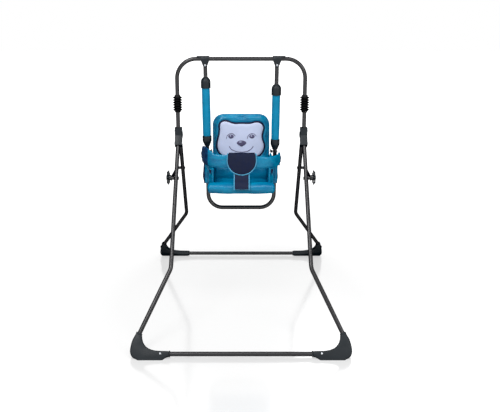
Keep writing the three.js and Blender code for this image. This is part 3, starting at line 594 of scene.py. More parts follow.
def softened(node, rounding, segments=2, shortest=0.0):
    """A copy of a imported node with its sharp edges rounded."""
    bm = bmesh.new()
    bm.from_mesh(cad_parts[node].data)
    bmesh.ops.remove_doubles(bm, verts=bm.verts, dist=1e-5)
    bmesh.ops.dissolve_limit(bm, angle_limit=math.radians(2), verts=bm.verts, edges=bm.edges)
    return rounded(bm, sharp_edges(bm, 35, shortest), rounding, segments)


def smooth_loop(points, count, closed=True):
    """`count` places on a smooth curve through points of any dimension."""
    total = len(points)
    spans = total if closed else total - 1
    made = []
    for k in range(count):
        at = k / count * spans if closed else k / (count - 1) * spans
        i = min(int(at), spans - 1)
        t = at - i
        pick = lambda n: points[n % total] if closed else points[max(0, min(total - 1, n))]
        p0, p1, p2, p3 = (Vector(pick(i + n)) for n in (-1, 0, 1, 2))
        made.append(
            0.5 * (2 * p1 + (p2 - p0) * t + (2 * p0 - 5 * p1 + 4 * p2 - p3) * t * t
                   + (3 * p1 - p0 - 3 * p2 + p3) * t ** 3)
        )
    return made


# ------------------------------------------------------------ cloth


def evaluated_mesh(made):
    graph = bpy.context.evaluated_depsgraph_get()
    return bpy.data.meshes.new_from_object(made.evaluated_get(graph))


def swap_mesh(made, mesh):
    old = made.data
    made.data = mesh
    bpy.data.meshes.remove(old)


def remeshed(made, voxel):
    """The piece's mesh rebuilt in even quads."""
    remesh = made.modifiers.new("Remesh", "REMESH")
    remesh.mode = "VOXEL"
    remesh.voxel_size = voxel
    finish = made.data.materials[0]
    bpy.context.view_layer.update()
    mesh = evaluated_mesh(made)
    made.modifiers.remove(remesh)
    swap_mesh(made, mesh)
    mesh.materials.clear()
    mesh.materials.append(finish)
    mesh.shade_smooth()
    return made


def puffed(made, pressure, cap, frames=20, keep_in=None):
    """Cloth simulation under air pressure. No point swells by more than `cap` or draws
    in by more than a millimetre, and `keep_in` may pull it back from a neighbour."""
    rest = [(v.co.copy(), v.normal.copy()) for v in made.data.vertices]
    cloth = made.modifiers.new("Cloth", "CLOTH")
    settings = cloth.settings
    settings.quality = 5
    settings.mass = 0.3
    settings.tension_stiffness = settings.compression_stiffness = 15
    settings.shear_stiffness = 5
    settings.bending_stiffness = 0.5
    settings.use_pressure = True
    settings.uniform_pressure_force = pressure
    settings.effector_weights.gravity = 0
    cloth.point_cache.frame_start, cloth.point_cache.frame_end = 1, frames
    for number in range(1, frames + 1):
        bpy.context.scene.frame_set(number)
    mesh = evaluated_mesh(made)
    made.modifiers.remove(cloth)
    swap_mesh(made, mesh)
    bpy.context.scene.frame_set(1)
    for vert, (start, normal) in zip(mesh.vertices, rest):
        moved = vert.co - start
        out = moved.dot(normal)
        along = (moved - normal * out) * 0.3
        vert.co = start + along + normal * max(-0.001, min(cap, out))
    if keep_in:
        for vert in made.data.vertices:
            vert.co = keep_in(vert.co)
    made.data.shade_smooth()
    return made


def pushed(made, change):
    """Each vertex moved along its normal by what `change` says for its place."""
    mesh = made.data
    normals = [v.normal.copy() for v in mesh.vertices]
    for vert, normal in zip(mesh.vertices, normals):
        vert.co = vert.co + normal * change(vert.co)
    mesh.update()
    return made


def folds(place, size_mm, stretch=(1, 1, 1)):
    """Smooth noise from -1 to 1 over folds of about `size_mm`."""
    scaled = Vector(c * s for c, s in zip(place, stretch)) * (1000 / size_mm)
    return noise.noise(scaled)


# ------------------------------------------------------------ frame geometry


def leg_plane(leg):
    """The foot bar's centre, the direction up the leg frame and its length, in mm."""
    foot = Vector((0, leg["side"] * FOOT_DEPTH, FOOT_BAR_HEIGHT))
    up = Vector((0, leg["hinge_y"], HINGE_HEIGHT)) - foot
    return foot, up.normalized(), up.length


def leg_corners(leg):
    foot, up, length = leg_plane(leg)

    def place(x, distance):
        at = foot + up * distance
        return Vector((x, at.y, at.z))

    return [
        place(ARCH_HALF_WIDTH + leg["top_out"], length - leg["top_gap"]),
        place(ARCH_HALF_WIDTH + leg["knee_out"], leg["knee_up"]),
        place(FOOT_BAR_HALF_LENGTH + leg["end_past"], leg["end_up"]),
    ]


def sided(vector, side):
    return Vector((vector.x * side, vector.y, vector.z))


class SWING_OT_tubes(bpy.types.Operator):
    """Bends the powder-coated tubes of the stand, hangers and seat frame"""

    bl_idname = "swing.tubes"
    bl_label = "Bent tubes"

    def execute(self, context):
        radius = context.scene.swing_sizes.tube_diameter / 2
        self.arch(radius)
        for name, side in SIDES.items():
            self.upright(name, side, radius)
            self.hanger(name, side, radius)
            for which, body in (("front", "stand"), ("rear", "rear_frame")):
                corners = [sided(c, side) / 1000 for c in leg_corners(LEGS[which])]
                up = leg_plane(LEGS[which])[1]
                bm = tube(bent_route(corners, LEG_BEND / 1000), X_AXIS.cross(up), radius)
                painted(f"{which}_leg_tube_{name}", bm, body, f"{which}_leg_{name}")
        for which, body in (("front", "stand"), ("rear", "rear_frame")):
            foot = leg_plane(LEGS[which])[0] / 1000
            reach = X_AXIS * FOOT_BAR_HALF_LENGTH / 1000
            bm = tube(bent_route([foot - reach, foot + reach], 0.01), Z_AXIS, radius)
            painted(f"{which}_floor_tube", bm, body, f"{which}_foot_bar")
        corner = Vector(SEAT_FRAME_CORNER) / 1000
        top = Vector(HANGER_BOTTOM) / 1000
        corners = [sided(top, -1), sided(corner, -1), corner, top]
        bm = tube(bent_route(corners, SEAT_FRAME_BEND / 1000), Y_AXIS, radius)
        painted("seat_hoop", bm, "swing", "seat_frame_tube")
        return {"FINISHED"}

    def arch(self, radius):
        corners = [(-1, ARCH_END_HEIGHT), (-1, BAR_HEIGHT), (1, BAR_HEIGHT), (1, ARCH_END_HEIGHT)]
        places = [point(side * ARCH_HALF_WIDTH, 0, z) for side, z in corners]
        bm = tube(bent_route(places, ARCH_BEND / 1000), Y_AXIS, radius)
        painted("arch_tube", bm, "stand", "top_arch")

    def upright(self, name, side, radius):
        low = point(side * ARCH_HALF_WIDTH, 0, UPRIGHT_BOTTOM)
        high = point(side * ARCH_HALF_WIDTH, 0, ARCH_END_HEIGHT - 0.3)
        bm = tube(bent_route([low, high], 0.01), Y_AXIS, radius)
        painted(f"upright_tube_{name}", bm, "stand", f"upright_{name}")

    def hanger(self, name, side, radius):
        high, low = (sided(Vector(p), side) / 1000 for p in (HANGER_TOP, HANGER_BOTTOM))
        bm = tube(bent_route([high, low], 0.01), Y_AXIS, radius)
        painted(f"hanger_bar_{name}", bm, "swing", f"hanger_tube_{name}")


class SWING_OT_boots(bpy.types.Operator):
    """Moulds the four corner boots that hold the legs and foot bars"""

    bl_idname = "swing.boots"
    bl_label = "Corner boots"

    INNER, HEEL, TOE, HALF = 303, 440, 470, 13

    def execute(self, context):
        rounding = context.scene.swing_sizes.boot_rounding
        for which, body in (("front", "stand"), ("rear", "rear_frame")):
            for name, side in SIDES.items():
                bm = self.boot(LEGS[which], side, rounding)
                moulded(f"{which}_boot_{name}", bm, body, f"{which}_corner_boot_{name}")
                self.screw(which, name, body)
        return {"FINISHED"}

    def boot(self, leg, side, rounding):
        foot, up, _ = leg_plane(leg)
        _, knee, end = leg_corners(leg)
        flare = (end - knee).normalized()
        mouth = end - flare * 38
        flat = lambda p: Vector((p.x, (p - foot).dot(up)))
        mouth_at, end_at = flat(mouth), flat(end)
        run = (end_at - mouth_at).normalized()
        out = Vector((-run.y, run.x)) * 11.9
        outline = [(self.INNER, -11), (self.INNER + 12, -14), (self.INNER + 24, -21),
                   (self.INNER + 30, -34), (self.HEEL, -34), (self.HEEL + 1, -22)]
        outline += self.curve((self.HEEL + 1, -22), (self.TOE - 4, -20), (self.TOE, 10), 6)
        outline += self.curve((self.TOE, 10), (self.TOE, 34), (self.TOE - 9, 60), 5)
        outline += [tuple(mouth_at + out), tuple(mouth_at - out)]
        outline += self.curve(
            tuple(mouth_at - out), (mouth_at.x - 12, 14), (self.INNER + 42, 12), 8,
        )
        outline += [(self.INNER, 11)]
        normal = X_AXIS.cross(up)
        places = []
        for x, distance in outline:
            at = foot + up * distance - normal * self.HALF
            places.append(sided(Vector((x, at.y, at.z)), side) / 1000)
        bm = slab(places, normal * 2 * self.HALF / 1000, rounding, segments=4)
        lip = [[BORE, -3], [13.6, -3], [13.9, 3], [13.6, 7], [BORE, 7]]
        base = sided(mouth, side) / 1000
        collar = turned(lip, base, sided(flare, side), rounding=1.2)
        throat = [[9.8, -2], [13.4, -2], [13.4, 2], [9.8, 2]]
        inner_end = Vector((self.INNER * side, foot.y, foot.z)) / 1000
        bar_lip = turned(throat, inner_end, X_AXIS * side, rounding=0.8)
        whole = merged(bm, collar, bar_lip)
        bmesh.ops.bisect_plane(
            whole, geom=whole.verts[:] + whole.edges[:] + whole.faces[:], dist=1e-6,
            plane_co=(0, 0, 0), plane_no=(0, 0, -1), clear_outer=True,
        )
        return capped(whole)

    @staticmethod
    def curve(start, control, end, steps):
        made = []
        for k in range(1, steps + 1):
            t = k / steps
            made.append(tuple(
                (1 - t) ** 2 * a + 2 * t * (1 - t) * b + t * t * c
                for a, b, c in zip(start, control, end)
            ))
        return made

    def screw(self, which, name, body):
        node = f"{which}_boot_screw_{name}"
        low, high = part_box(node)
        leg = LEGS[which]
        up = leg_plane(leg)[1]
        out = Vector((0, leg["side"] * up.z, abs(up.y))).normalized()
        centre = point(0, leg["side"] * FOOT_DEPTH, FOOT_BAR_HEIGHT)
        centre.x = (low.x + high.x) / 2
        bm = dome_screw(centre + out * (self.HALF + 0.3) / 1000, out, 4.6, 2.4, 8)
        piece(f"{which}_floor_screw_{name}", bm, "zinc", body, "zinc_steel", [node])


def dome_screw(seat, out, radius, height, shank):
    """A pan-head screw: its head on `seat` with a cross recess, its shank behind."""
    profile = [
        [0, -shank], [2.5, -shank], [2.5, 0], [radius, 0], [radius, height * 0.35],
        [radius * 0.8, height * 0.8], [radius * 0.45, height], [radius * 0.3, height],
        [radius * 0.22, height * 0.35], [0, height * 0.3],
    ]
    return turned(profile, seat, out, steps=32, rounding=0.35, segments=2)


class SWING_OT_joints(bpy.types.Operator):
    """Makes the gaiters, hinge housings, pins, stays and clamp knobs"""

    bl_idname = "swing.joints"
    bl_label = "Joints of the stand"

    # The clamp knob's rim, in metres, and its hub's [radius, height] outline.
    RIM_START, RIM_DEPTH, RIM_TAPER = 0.0078, 0.0115, 0.72
    HUB = [[4.4, 0], [12.5, 0], [12.5, 9], [15, 19], [11, 21.2], [6.6, 22], [6.4, 19.5],
           [4.4, 19.5]]

    def execute(self, context):
        sizes = context.scene.swing_sizes
        for name, side in SIDES.items():
            self.gaiter(name, side, sizes.gaiter_rib)
            bm = softened(f"hinge_housing_{name}", 0.0025, segments=3, shortest=0.006)
            moulded(f"hinge_shell_{name}", bm, "stand", f"hinge_housing_{name}")
            for node in ("upright_bolt", "front_leg_bolt", "hinge_pin"):
                self.through_bolt(f"{node}_{name}", "stand", 0.0025)
            self.through_bolt(f"stay_rivet_{name}", "rear_frame", 0.003, plain=True)
            self.through_bolt(f"clamp_stud_{name}", "stand", 0.003, plain=True)
            bm = softened(f"stay_{name}", 0.0006)
            painted(f"stay_strip_{name}", bm, f"stay_{name}", f"stay_{name}")
            self.knob(name, side, sizes.knob_rounding)
        return {"FINISHED"}

    def gaiter(self, name, side, rib_depth):
        low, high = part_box(f"ribbed_gaiter_{name}")
        ribs, neck = 6, 6
        length = (high.z - low.z) * 1000
        outer = (high.y - low.y) * 500 + 1.5
        root = outer - rib_depth * 1000
        profile = [[BORE, 0], [root - 1, 0], [root - 0.5, neck - 1]]
        steps = ribs * 8
        for k in range(steps + 1):
            peak = 1 - abs(2 * ((k / 8) % 1) - 1)
            height = neck + (length - 2 * neck) * k / steps
            profile.append([root + (outer - root) * peak, height])
        profile += [[root - 0.5, length - neck + 1], [root - 1, length], [BORE, length]]
        bm = turned(profile, Vector((side * ARCH_HALF_WIDTH / 1000, 0, low.z)), Z_AXIS, steps=56)
        piece(f"gaiter_{name}", bm, "rubber", "stand", "black_rubber",
              [f"ribbed_gaiter_{name}"], sharp=60)

    def through_bolt(self, node, body, head, plain=False):
        """Heads and shank of a pin along X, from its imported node."""
        low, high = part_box(node)
        centre = (low + high) / 2
        finish, slot = ("steel", "frame_paint") if plain else ("zinc", "zinc_steel")
        if plain:
            bm = softened(node, 0.0005)
        else:
            radius = (high.z - low.z) * 500
            half = (high.x - low.x) * 500
            face = half - head * 1000
            profile = [[0, -half], [radius * 0.6, -half], [radius, -half + 1.4], [radius, -face],
                       [2.4, -face], [2.4, face], [radius, face], [radius, half - 1.4],
                       [radius * 0.7, half], [radius * 0.45, half], [radius * 0.4, half - 1.6],
                       [0, half - 1.6]]
            bm = turned(profile, centre, X_AXIS, steps=32, rounding=0.3, segments=2)
        piece(f"{node}_head", bm, finish, body, slot, [node])

    def knob(self, name, side, rounding):
        node = f"clamp_knob_{name}"
        low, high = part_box(node)
        centre = (low + high) / 2
        inner = (low if side > 0 else high).x
        reach, lobes, dip = 0.037, 5, 0.008
        bm = bmesh.new()
        bmesh.ops.create_circle(bm, cap_ends=True, segments=100, radius=reach)
        for vert in bm.verts:
            angle = math.atan2(vert.co.y, vert.co.x)
            size = reach - dip + dip * math.cos(lobes * angle)
            vert.co = Vector((inner + side * self.RIM_START, centre.y + size * math.sin(angle),
                              centre.z + size * math.cos(angle)))
        made = bmesh.ops.extrude_face_region(bm, geom=bm.faces[:])
        moved = [g for g in made["geom"] if isinstance(g, bmesh.types.BMVert)]
        bmesh.ops.translate(bm, vec=(side * self.RIM_DEPTH, 0, 0), verts=moved)
        for vert in moved:
            vert.co.y = centre.y + (vert.co.y - centre.y) * self.RIM_TAPER
            vert.co.z = centre.z + (vert.co.z - centre.z) * self.RIM_TAPER
        bmesh.ops.recalc_face_normals(bm, faces=bm.faces)
        rim = [e for e in bm.edges if e.calc_face_angle(0) > math.radians(60)]
        rounded(bm, rim, rounding, 4)
        hub_base = Vector((inner, centre.y, centre.z))
        hub = turned(self.HUB, hub_base, X_AXIS * side, rounding=1.0)
        piece(f"star_knob_{name}", merged(bm, hub), "gloss", f"knob_{name}", "black_plastic",
              [node])


class SWING_OT_hangers(bpy.types.Operator):
    """Makes the pivot brackets, foam sleeves, caps and fastenings of the hangers"""

    bl_idname = "swing.hangers"
    bl_label = "Hangers"

    # Where each foam sleeve starts and ends, and the caps' [radius, height] outlines.
    SPANS = {"left": (836, 1061), "right": (819, 1028)}
    UPPER_CAP = [[BORE, 0], [22.5, 0], [22.6, 30], [21.4, 36], [18.6, 42], [14, 47.5],
                 [11.2, 50], [BORE, 50]]
    LOWER_CAP = [[BORE, -48], [12.9, -48], [14, -42], [19.5, -30], [21.5, -24], [21.5, -0.3],
                 [BORE, -0.3]]

    def execute(self, context):
        for name, side in SIDES.items():
            high, low = (sided(Vector(p), side) for p in (HANGER_TOP, HANGER_BOTTOM))
            axis = (high - low).normalized()
            at = lambda z: (low + (high - low) * ((z - low.z) / (high.z - low.z))) / 1000
            bottom, top = self.SPANS[name]
            body = f"sleeve_{name}"
            self.foam(name, body, at(bottom), axis, top - bottom)
            bm = turned(self.UPPER_CAP, at(top), axis, rounding=1.4)
            moulded(f"upper_cap_{name}", bm, body, f"sleeve_top_cap_{name}")
            bm = turned(self.LOWER_CAP, at(bottom), axis, rounding=1.4)
            moulded(f"lower_cap_{name}", bm, body, f"sleeve_bottom_cap_{name}")
            bm = softened(f"pivot_bracket_{name}", 0.0012)
            moulded(f"pivot_strap_{name}", bm, "swing", f"pivot_bracket_{name}")
            self.bracket_bolt(name)
            bm = softened(f"seat_bolt_{name}", 0.0005)
            piece(f"hanger_bolt_{name}", bm, "zinc", "swing", "zinc_steel", [f"seat_bolt_{name}"])
            bm = softened(f"wing_nut_{name}", 0.0008)
            moulded(f"wing_{name}", bm, f"wing_nut_{name}", f"wing_nut_{name}")
        return {"FINISHED"}

    def foam(self, name, body, base, axis, length):
        """The foam tube, drawn in a little under its caps."""
        profile = [[BORE, 0.2], [17.8, 0.2], [18.9, 6]]
        profile += [[19.25 - 0.35 * math.cos(math.pi * k / 12) ** 8, 6 + (length - 12) * k / 12]
                    for k in range(13)]
        profile += [[18.9, length - 6], [17.8, length - 0.3], [BORE, length - 0.3]]
        bm = turned(profile, base, axis, steps=64)
        made = piece(f"foam_tube_{name}", bm, "foam", body, "foam_sleeve", [f"foam_sleeve_{name}"])
        pushed(made, lambda p: 0.0004 * folds(p, 26, (1, 1, 0.6)))

    def bracket_bolt(self, name):
        node = f"bracket_bolt_{name}"
        low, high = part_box(node)
        centre = (low + high) / 2
        half = (high.y - low.y) * 500
        profile = [[0, -half], [3.2, -half], [5, -half + 1.6], [5, -half + 3], [3, -half + 3],
                   [3, half - 3], [5, half - 3], [5, half - 1.6], [3.2, half], [0, half]]
        bm = turned(profile, centre, Y_AXIS, steps=32, rounding=0.3, segments=2)
        piece(f"bracket_pin_{name}", bm, "zinc", "swing", "zinc_steel", [node])


# ------------------------------------------------------------ seat: back and bear patch

RECLINE = math.radians(BACK["recline"])
BACK_UP = Vector((0, math.sin(RECLINE), math.cos(RECLINE)))
BACK_REAR = BACK_UP.cross(X_AXIS)
FACE_LIFT = 0.0052  # how far the bear's face stands off the cushion
# The bear patch's outline, across and above the floor. The ears are its two upper bumps.
PATCH = [
    (-104, 874), (-99, 888), (-84, 897), (-66, 896), (-48, 889), (-28, 885), (0, 886),
    (28, 885), (50, 887), (70, 892), (88, 890), (103, 880), (109, 864), (105, 845),
    (101, 826), (104, 806), (111, 786), (111, 766), (102, 745), (84, 728), (56, 718),
    (20, 714), (-22, 714), (-60, 718), (-88, 727), (-106, 744), (-115, 766), (-116, 790),
    (-111, 814), (-106, 836), (-104, 856),
]


def on_back(x, height, depth=0.0):
    """A place on the reclined back: across, floor height and depth behind its face, in mm."""
    along = (height - BACK["bottom"]) / BACK_UP.z
    base = Vector((x, BACK["front"], BACK["bottom"]))
    return (base + BACK_UP * along + BACK_REAR * depth) / 1000


class SWING_OT_back(bpy.types.Operator):
    """Sews the padded back with its bear patch"""

    bl_idname = "swing.back"
    bl_label = "Padded back"

    def execute(self, context):
        sizes = context.scene.swing_sizes
        half = SEAT_HALF - 1
        top = BACK["bottom"] + BACK["height"] * BACK_UP.z + 2
        low = BACK["bottom"] + 6
        corner = BACK["corner"]
        outline = [(-half, low + 14), (-half + 4, low + 4), (-half + 14, low), (half - 14, low),
                   (half - 4, low + 4), (half, low + 14)]
        for centre, start in ((half - corner, 0), (-half + corner, 90)):
            for k in range(11):
                angle = math.radians(start + 9 * k)
                outline.append((centre + corner * math.cos(angle),
                                top - corner + corner * math.sin(angle)))
        places = [on_back(x, z, 6) for x, z in outline]
        bm = slab(places, BACK_REAR * (BACK["depth"] - 10) / 1000, 0.009, segments=3)
        made = piece("back_cushion", bm, "vinyl", "swing", "blue_vinyl",
                     ["back_pad", "back_board"])
        remeshed(made, 0.005)
        puffed(made, 4.0, sizes.cushion_swell, keep_in=self.behind_seat)
        self.sew(made)
        subdivided(made)
        self.patch(made)
        return {"FINISHED"}

    @staticmethod
    def behind_seat(place):
        """The lower back stays behind the seat cushion."""
        if place.z < 0.63 and place.y < 0.0335:
            return Vector((place.x, 0.0335, place.z))
        return place

    @staticmethod
    def sew(made):
        """A sewn line round the patch draws the cover in, and soft folds run off it."""
        outline = [Vector(p) / 1000 for p in smooth_loop(PATCH, 160)]

        def change(place):
            depth = (place - on_back(0, BACK["bottom"])).dot(BACK_REAR)
            near = min((Vector((place.x, place.z)) - p).length for p in outline)
            fold = 0.0009 * folds(place, 30, (1, 1, 0.7))
            if depth > 0.018:
                seam = abs(place.x)
                return fold - 0.003 * math.exp(-((seam - 0.1) / 0.004) ** 2)
            return fold - 0.0042 * math.exp(-((near / 0.006) ** 2))

        return pushed(made, change)

    def patch(self, cushion):
        graph = bpy.context.evaluated_depsgraph_get()
        tree = BVHTree.FromObject(cushion, graph)

        def settle(x, z, lift):
            """A place on the cushion's front, lifted off it."""
            start = on_back(x, z, -60)
            hit, normal, *_ = tree.ray_cast(start, BACK_REAR)
            if hit is None:
                hit = on_back(x, z)
            return hit - BACK_REAR * lift

        outline = smooth_loop(PATCH, 112)
        centre = Vector((0, 806))
        shares = [1.0, 0.985, 0.96, 0.92, 0.86, 0.78, 0.68, 0.56, 0.44, 0.32, 0.2, 0.09, 0.03]
        rings = []
        for share in shares:
            lift = 0.0008 + 0.0026 * min(1.0, (1 - share) / 0.06) ** 0.6
            rings.append([
                settle(*(centre + (p - centre) * max(share, 1e-4)), lift) for p in outline
            ])
        bm = loft(rings)
        middle = settle(*centre, 0.0)
        inner = [e for e in bm.edges if e.is_boundary and (e.verts[0].co - middle).length < 0.03]
        bmesh.ops.holes_fill(bm, edges=inner, sides=0)
        patch = piece("bear_patch", bm, "patch", None, "navy_cloth")
        wall = patch.modifiers.new("Solidify", "SOLIDIFY")
        wall.thickness, wall.offset = 0.0016, -1
        self.outward(patch)
        sewn_on(patch, cushion)
        edge = [settle(p.x, p.y, 0.0014) for p in smooth_loop(PATCH, 150)]
        bm = cord_along(edge, 0.0044, closed=True, count=12)
        trim("bear_patch_binding", bm, "binding", "navy_cloth", cushion)
        self.face(cushion, settle)

    @staticmethod
    def outward(patch):
        """The open patch faces the front before it gets its wall."""
        mesh = patch.data
        if sum(f.normal.y * f.area for f in mesh.polygons) > 0:
            mesh.flip_normals()

    def face(self, cushion, settle):
        """A plain, friendly bear: round eyes, a soft nose and a smile."""
        base = FACE_LIFT - 0.0014

        def blob(name, centre, wide, tall, finish, height=0.0012, drop=0.0):
            rings = []
            for share, rise in ((1.0, -0.0014), (1.0, 0.0), (0.9, 0.6), (0.6, 0.9), (0.0, 1.0)):
                row = []
                for k in range(36):
                    angle = 2 * math.pi * k / 36
                    x, z = wide * math.cos(angle), tall * math.sin(angle)
                    if z < 0:
                        z *= 1 + drop * (z / tall) ** 4
                        x *= 1 - 0.3 * drop * (z / tall) ** 2
                    size = max(share, 1e-4)
                    up = rise if rise < 0 else rise * height
                    row.append(settle(centre[0] + x * size, centre[1] + z * size, base + up))
                rings.append(row)
            trim(name, capped(loft(rings)), finish, "navy_cloth", cushion)

        def line(name, points, radius):
            curve = smooth_loop(points, 30, closed=False)
            places = [settle(x, z, FACE_LIFT - 0.0012) for x, z in curve]
            trim(name, cord_along(places, radius, count=8), "ink", "navy_cloth", cushion)

        for name, x in (("left", -48), ("right", 52)):
            blob(f"bear_eye_{name}", (x, 822), 13, 9.5, "ink")
            blob(f"bear_glint_{name}", (x - 3, 825), 3.6, 2.8, "patch", height=0.0022)
            lid = [(x - 22, 812), (x - 18, 826), (x - 5, 835.5), (x + 9, 835), (x + 20, 824)]
            line(f"bear_lid_{name}", lid, 0.0013)
        blob("bear_nose", (2, 791), 23, 12, "ink", height=0.0028, drop=0.45)
        blob("bear_nose_glint", (-3, 796), 7, 2.4, "patch", height=0.0042)
        smile = [(-56, 774), (-47, 761), (-26, 751), (2, 747), (30, 751), (49, 762), (58, 775)]
        line("bear_smile", smile, 0.0017)


# ------------------------------------------------------------ seat: cushion and roll


def front_roll_outline(shrink):
    """The roll's side view (depth, height), drawn in by `shrink` millimetres."""
    raw = [(-92, 596), (-116, 588), (-140, 591), (-156, 597), (-166, 606), (-168, 619),
           (-166, 631), (-157, 640), (-142, 644), (-120, 642), (-98, 637), (-89, 630),
           (-88, 612)]
    middle = Vector((-128, 616))
    made = []
    for y, z in raw:
        away = Vector((y, z)) - middle
        made.append(middle + away * (1 - shrink / away.length))
    return smooth_loop(made, 40)


class SWING_OT_seat(bpy.types.Operator):
    """Sews the seat cushion and its front roll"""

    bl_idname = "swing.seat"
    bl_label = "Seat cushion and roll"

    def execute(self, context):
        corners = [(-132, -92), (132, -92), (132, 24), (-132, 24)]
        places = [point(x, y, 588) for x, y in corners]
        bm = slab(places, Z_AXIS * 0.030, 0.010, segments=3)
        made = piece("seat_cushion", bm, "vinyl", "swing", "blue_vinyl",
                     ["seat_pad", "seat_board"])
        remeshed(made, 0.006)
        puffed(made, 4.0, 0.006,
               keep_in=lambda p: Vector((p.x, min(p.y, 0.0305), max(p.z, 0.585))))
        pushed(made, lambda p: 0.001 * folds(p, 28))
        subdivided(made)
        self.roll()
        return {"FINISHED"}

    def roll(self):
        reach = 156
        outline = front_roll_outline(4)
        middle = sum((Vector(p) for p in outline), Vector((0, 0))) / len(outline)
        xs = [reach * math.sin(math.pi * (k / 64 - 0.5)) for k in range(65)]
        rings = []
        sag = lambda x: 2.0 * (1 - (x / reach) ** 2)
        for x in xs:
            from_end = (reach - abs(x)) / 11
            size = math.sqrt(max(0.0, 1 - (1 - min(1.0, from_end)) ** 2))
            size = max(size, 1e-4)
            section = [middle + (p - middle) * size for p in outline]
            rings.append([point(x, p.x, p.y - sag(x)) for p in section])
        made = piece("front_roll", loft(rings), "vinyl", "swing", "blue_vinyl")
        puffed(made, 3.0, 0.0045)

        def change(place):
            strap = math.exp(-((place.x / 0.046) ** 4)) * (1 if place.y < -0.12 else 0)
            near_end = math.exp(-(((abs(place.x) - 0.15) / 0.02) ** 2))
            gather = math.sin(place.x * 1000 / 7.5) * near_end
            return -0.0028 * strap + 0.0012 * folds(place, 34, (0.5, 1, 1)) + 0.0006 * gather

        pushed(made, change)
        subdivided(made)
        seam = [point(x, -170, 600 - sag(x)) for x in (-147 + 294 * k / 60 for k in range(61))]
        tree = BVHTree.FromObject(made, bpy.context.evaluated_depsgraph_get())
        laid = []
        for place in seam:
            hit, *_ = tree.ray_cast(place + Vector((0, -0.05, 0)), Y_AXIS)
            laid.append(hit or place)
        trim("roll_hem", cord_along(laid, 0.0016, count=8), "vinyl", "blue_vinyl", made)


# ------------------------------------------------------------ seat: sides


class SWING_OT_sides(bpy.types.Operator):
    """Sews the side panels round the seat hoop"""

    bl_idname = "swing.sides"
    bl_label = "Side panels"

    # How far each panel's loose edge stands out from its channel, and the width and
    # height of half its gather.
    EDGE = {"left": 11, "right": 3.5}
    # VENT sizes the dark sheet of painted shade in each gather.
    VENT = {"left": (12, 14), "right": (12.5, 18)}
    # The loose edge's section: the share of the way out, and how far from its middle.
    SEAM_SECTION = [(0, 1.3), (0.5, 1.2), (1, 0.9), (1, -0.9), (0.5, -1.2), (0, -1.3)]

    def execute(self, context):
        for name, side in SIDES.items():
            bm = softened(f"side_panel_{name}", 0.0006, segments=1)
            made = piece(f"side_cushion_{name}", bm, "vinyl", "swing", "blue_vinyl",
                         [f"side_panel_{name}"])
            remeshed(made, 0.0034)
            smooth = made.modifiers.new("Smooth", "SMOOTH")
            smooth.factor, smooth.iterations = 0.5, 4
            mesh = evaluated_mesh(made)
            made.modifiers.remove(smooth)
            swap_mesh(made, mesh)
            puffed(made, 3.0, 0.003, frames=12)
            pushed(made, self.gathers)
            self.lowered(made)
            self.vent(name, side, made)
            self.edge(name, side, made)
        return {"FINISHED"}

    @staticmethod
    def gathers(place):
        """Creases that run down the channel and fan towards the front corner."""
        near_tube = math.exp(-((place.y / 0.03) ** 2))
        crease = folds(place, 13, (1, 1, 0.35))
        return 0.0013 * near_tube * crease + 0.0011 * folds(place, 24)

    @staticmethod
    def lowered(made):
        """The front corner comes down to meet the roll and ends inside it."""
        for vert in made.data.vertices:
            if vert.co.y < -0.082:
                vert.co.z -= 0.011 * max(0.0, min(1.0, (0.668 - vert.co.z) / 0.02))
                vert.co.z = max(vert.co.z, 0.597)

    def vent(self, name, side, panel):
        """A dark sheet of painted shade in the teardrop gather at the front corner, with its
        turned edge.
        """
        tree = BVHTree.FromObject(panel, bpy.context.evaluated_depsgraph_get())
        look = Vector((-side * 0.55, 0.835, 0)).normalized()
        across = Vector((look.y, -look.x, 0)) * side
        centre = point(side * 141, -104, 686)
        wide, tall = self.VENT[name]
        outline = []
        for k in range(40):
            angle = 2 * math.pi * k / 40
            width = wide * math.sin(angle) * (0.6 + 0.4 * math.cos(angle))
            outline.append(centre + (across * width + Z_AXIS * tall * math.cos(angle)) / 1000)

        def behind(place):
            """How far behind a place the panel lies, as the eye looks at it."""
            hit, *_ = tree.ray_cast(place - look * 0.1, look, 0.14)
            depth = (hit - place).dot(look) if hit else 0.0
            return max(-0.012, min(0.004, depth))

        inner = [centre.lerp(p, share) for p in outline for share in (0.0, 0.4, 0.7)]
        depth = min(behind(p) for p in outline + inner)
        flat = [p + look * (depth - 0.0012) for p in outline]
        rows = [[p + look * 0.006 for p in flat], flat,
                [centre + look * (depth - 0.0012) for _ in flat]]
        # The dark sheet is painted shade: it stands for the opening into the shaded seat.
        trim(f"side_vent_{name}", capped(loft(rows)), "binding", "navy_cloth", panel)
        hem = cord_along(flat, 0.0014, count=8, closed=True)
        trim(f"side_vent_hem_{name}", hem, "vinyl", "blue_vinyl", panel)

    def edge(self, name, side, panel):
        """The loose seam edge outside the channel, wavy, with its binding."""
        reach = self.EDGE[name]
        rings, rim = [], []
        inner, low, high, count = 168, 604, 714, 46
        for k in range(count + 1):
            t = k / count
            z = low + (high - low) * t
            wave = 2.2 * math.sin(z / 6.5) + 1.4 * math.sin(z / 2.9 + 1)
            swell = 0.55 + 0.45 * math.sin(math.pi * min(1, t * 1.25))
            out = inner + 2 + reach * swell + 0.8 * math.sin(z / 9)
            section = []
            for along, thick in self.SEAM_SECTION:
                x = inner + (out - inner) * along
                section.append(point(side * x, wave * along + thick - 2, z))
            rings.append(section)
            rim.append(point(side * (out + 0.4), wave - 2, z))
        # The left seam takes the dark lining colour as painted shade; the right seam is plain
        # vinyl.
        finish = "lining_and_shade" if name == "left" else "vinyl"
        trim(f"side_seam_{name}", capped(loft(rings)), finish, "blue_vinyl", panel)
        bm = cord_along(rim, 0.0017, count=8)
        trim(f"side_binding_{name}", bm, "binding", "navy_cloth", panel)


# ------------------------------------------------------------ seat: belly band, bib, strap


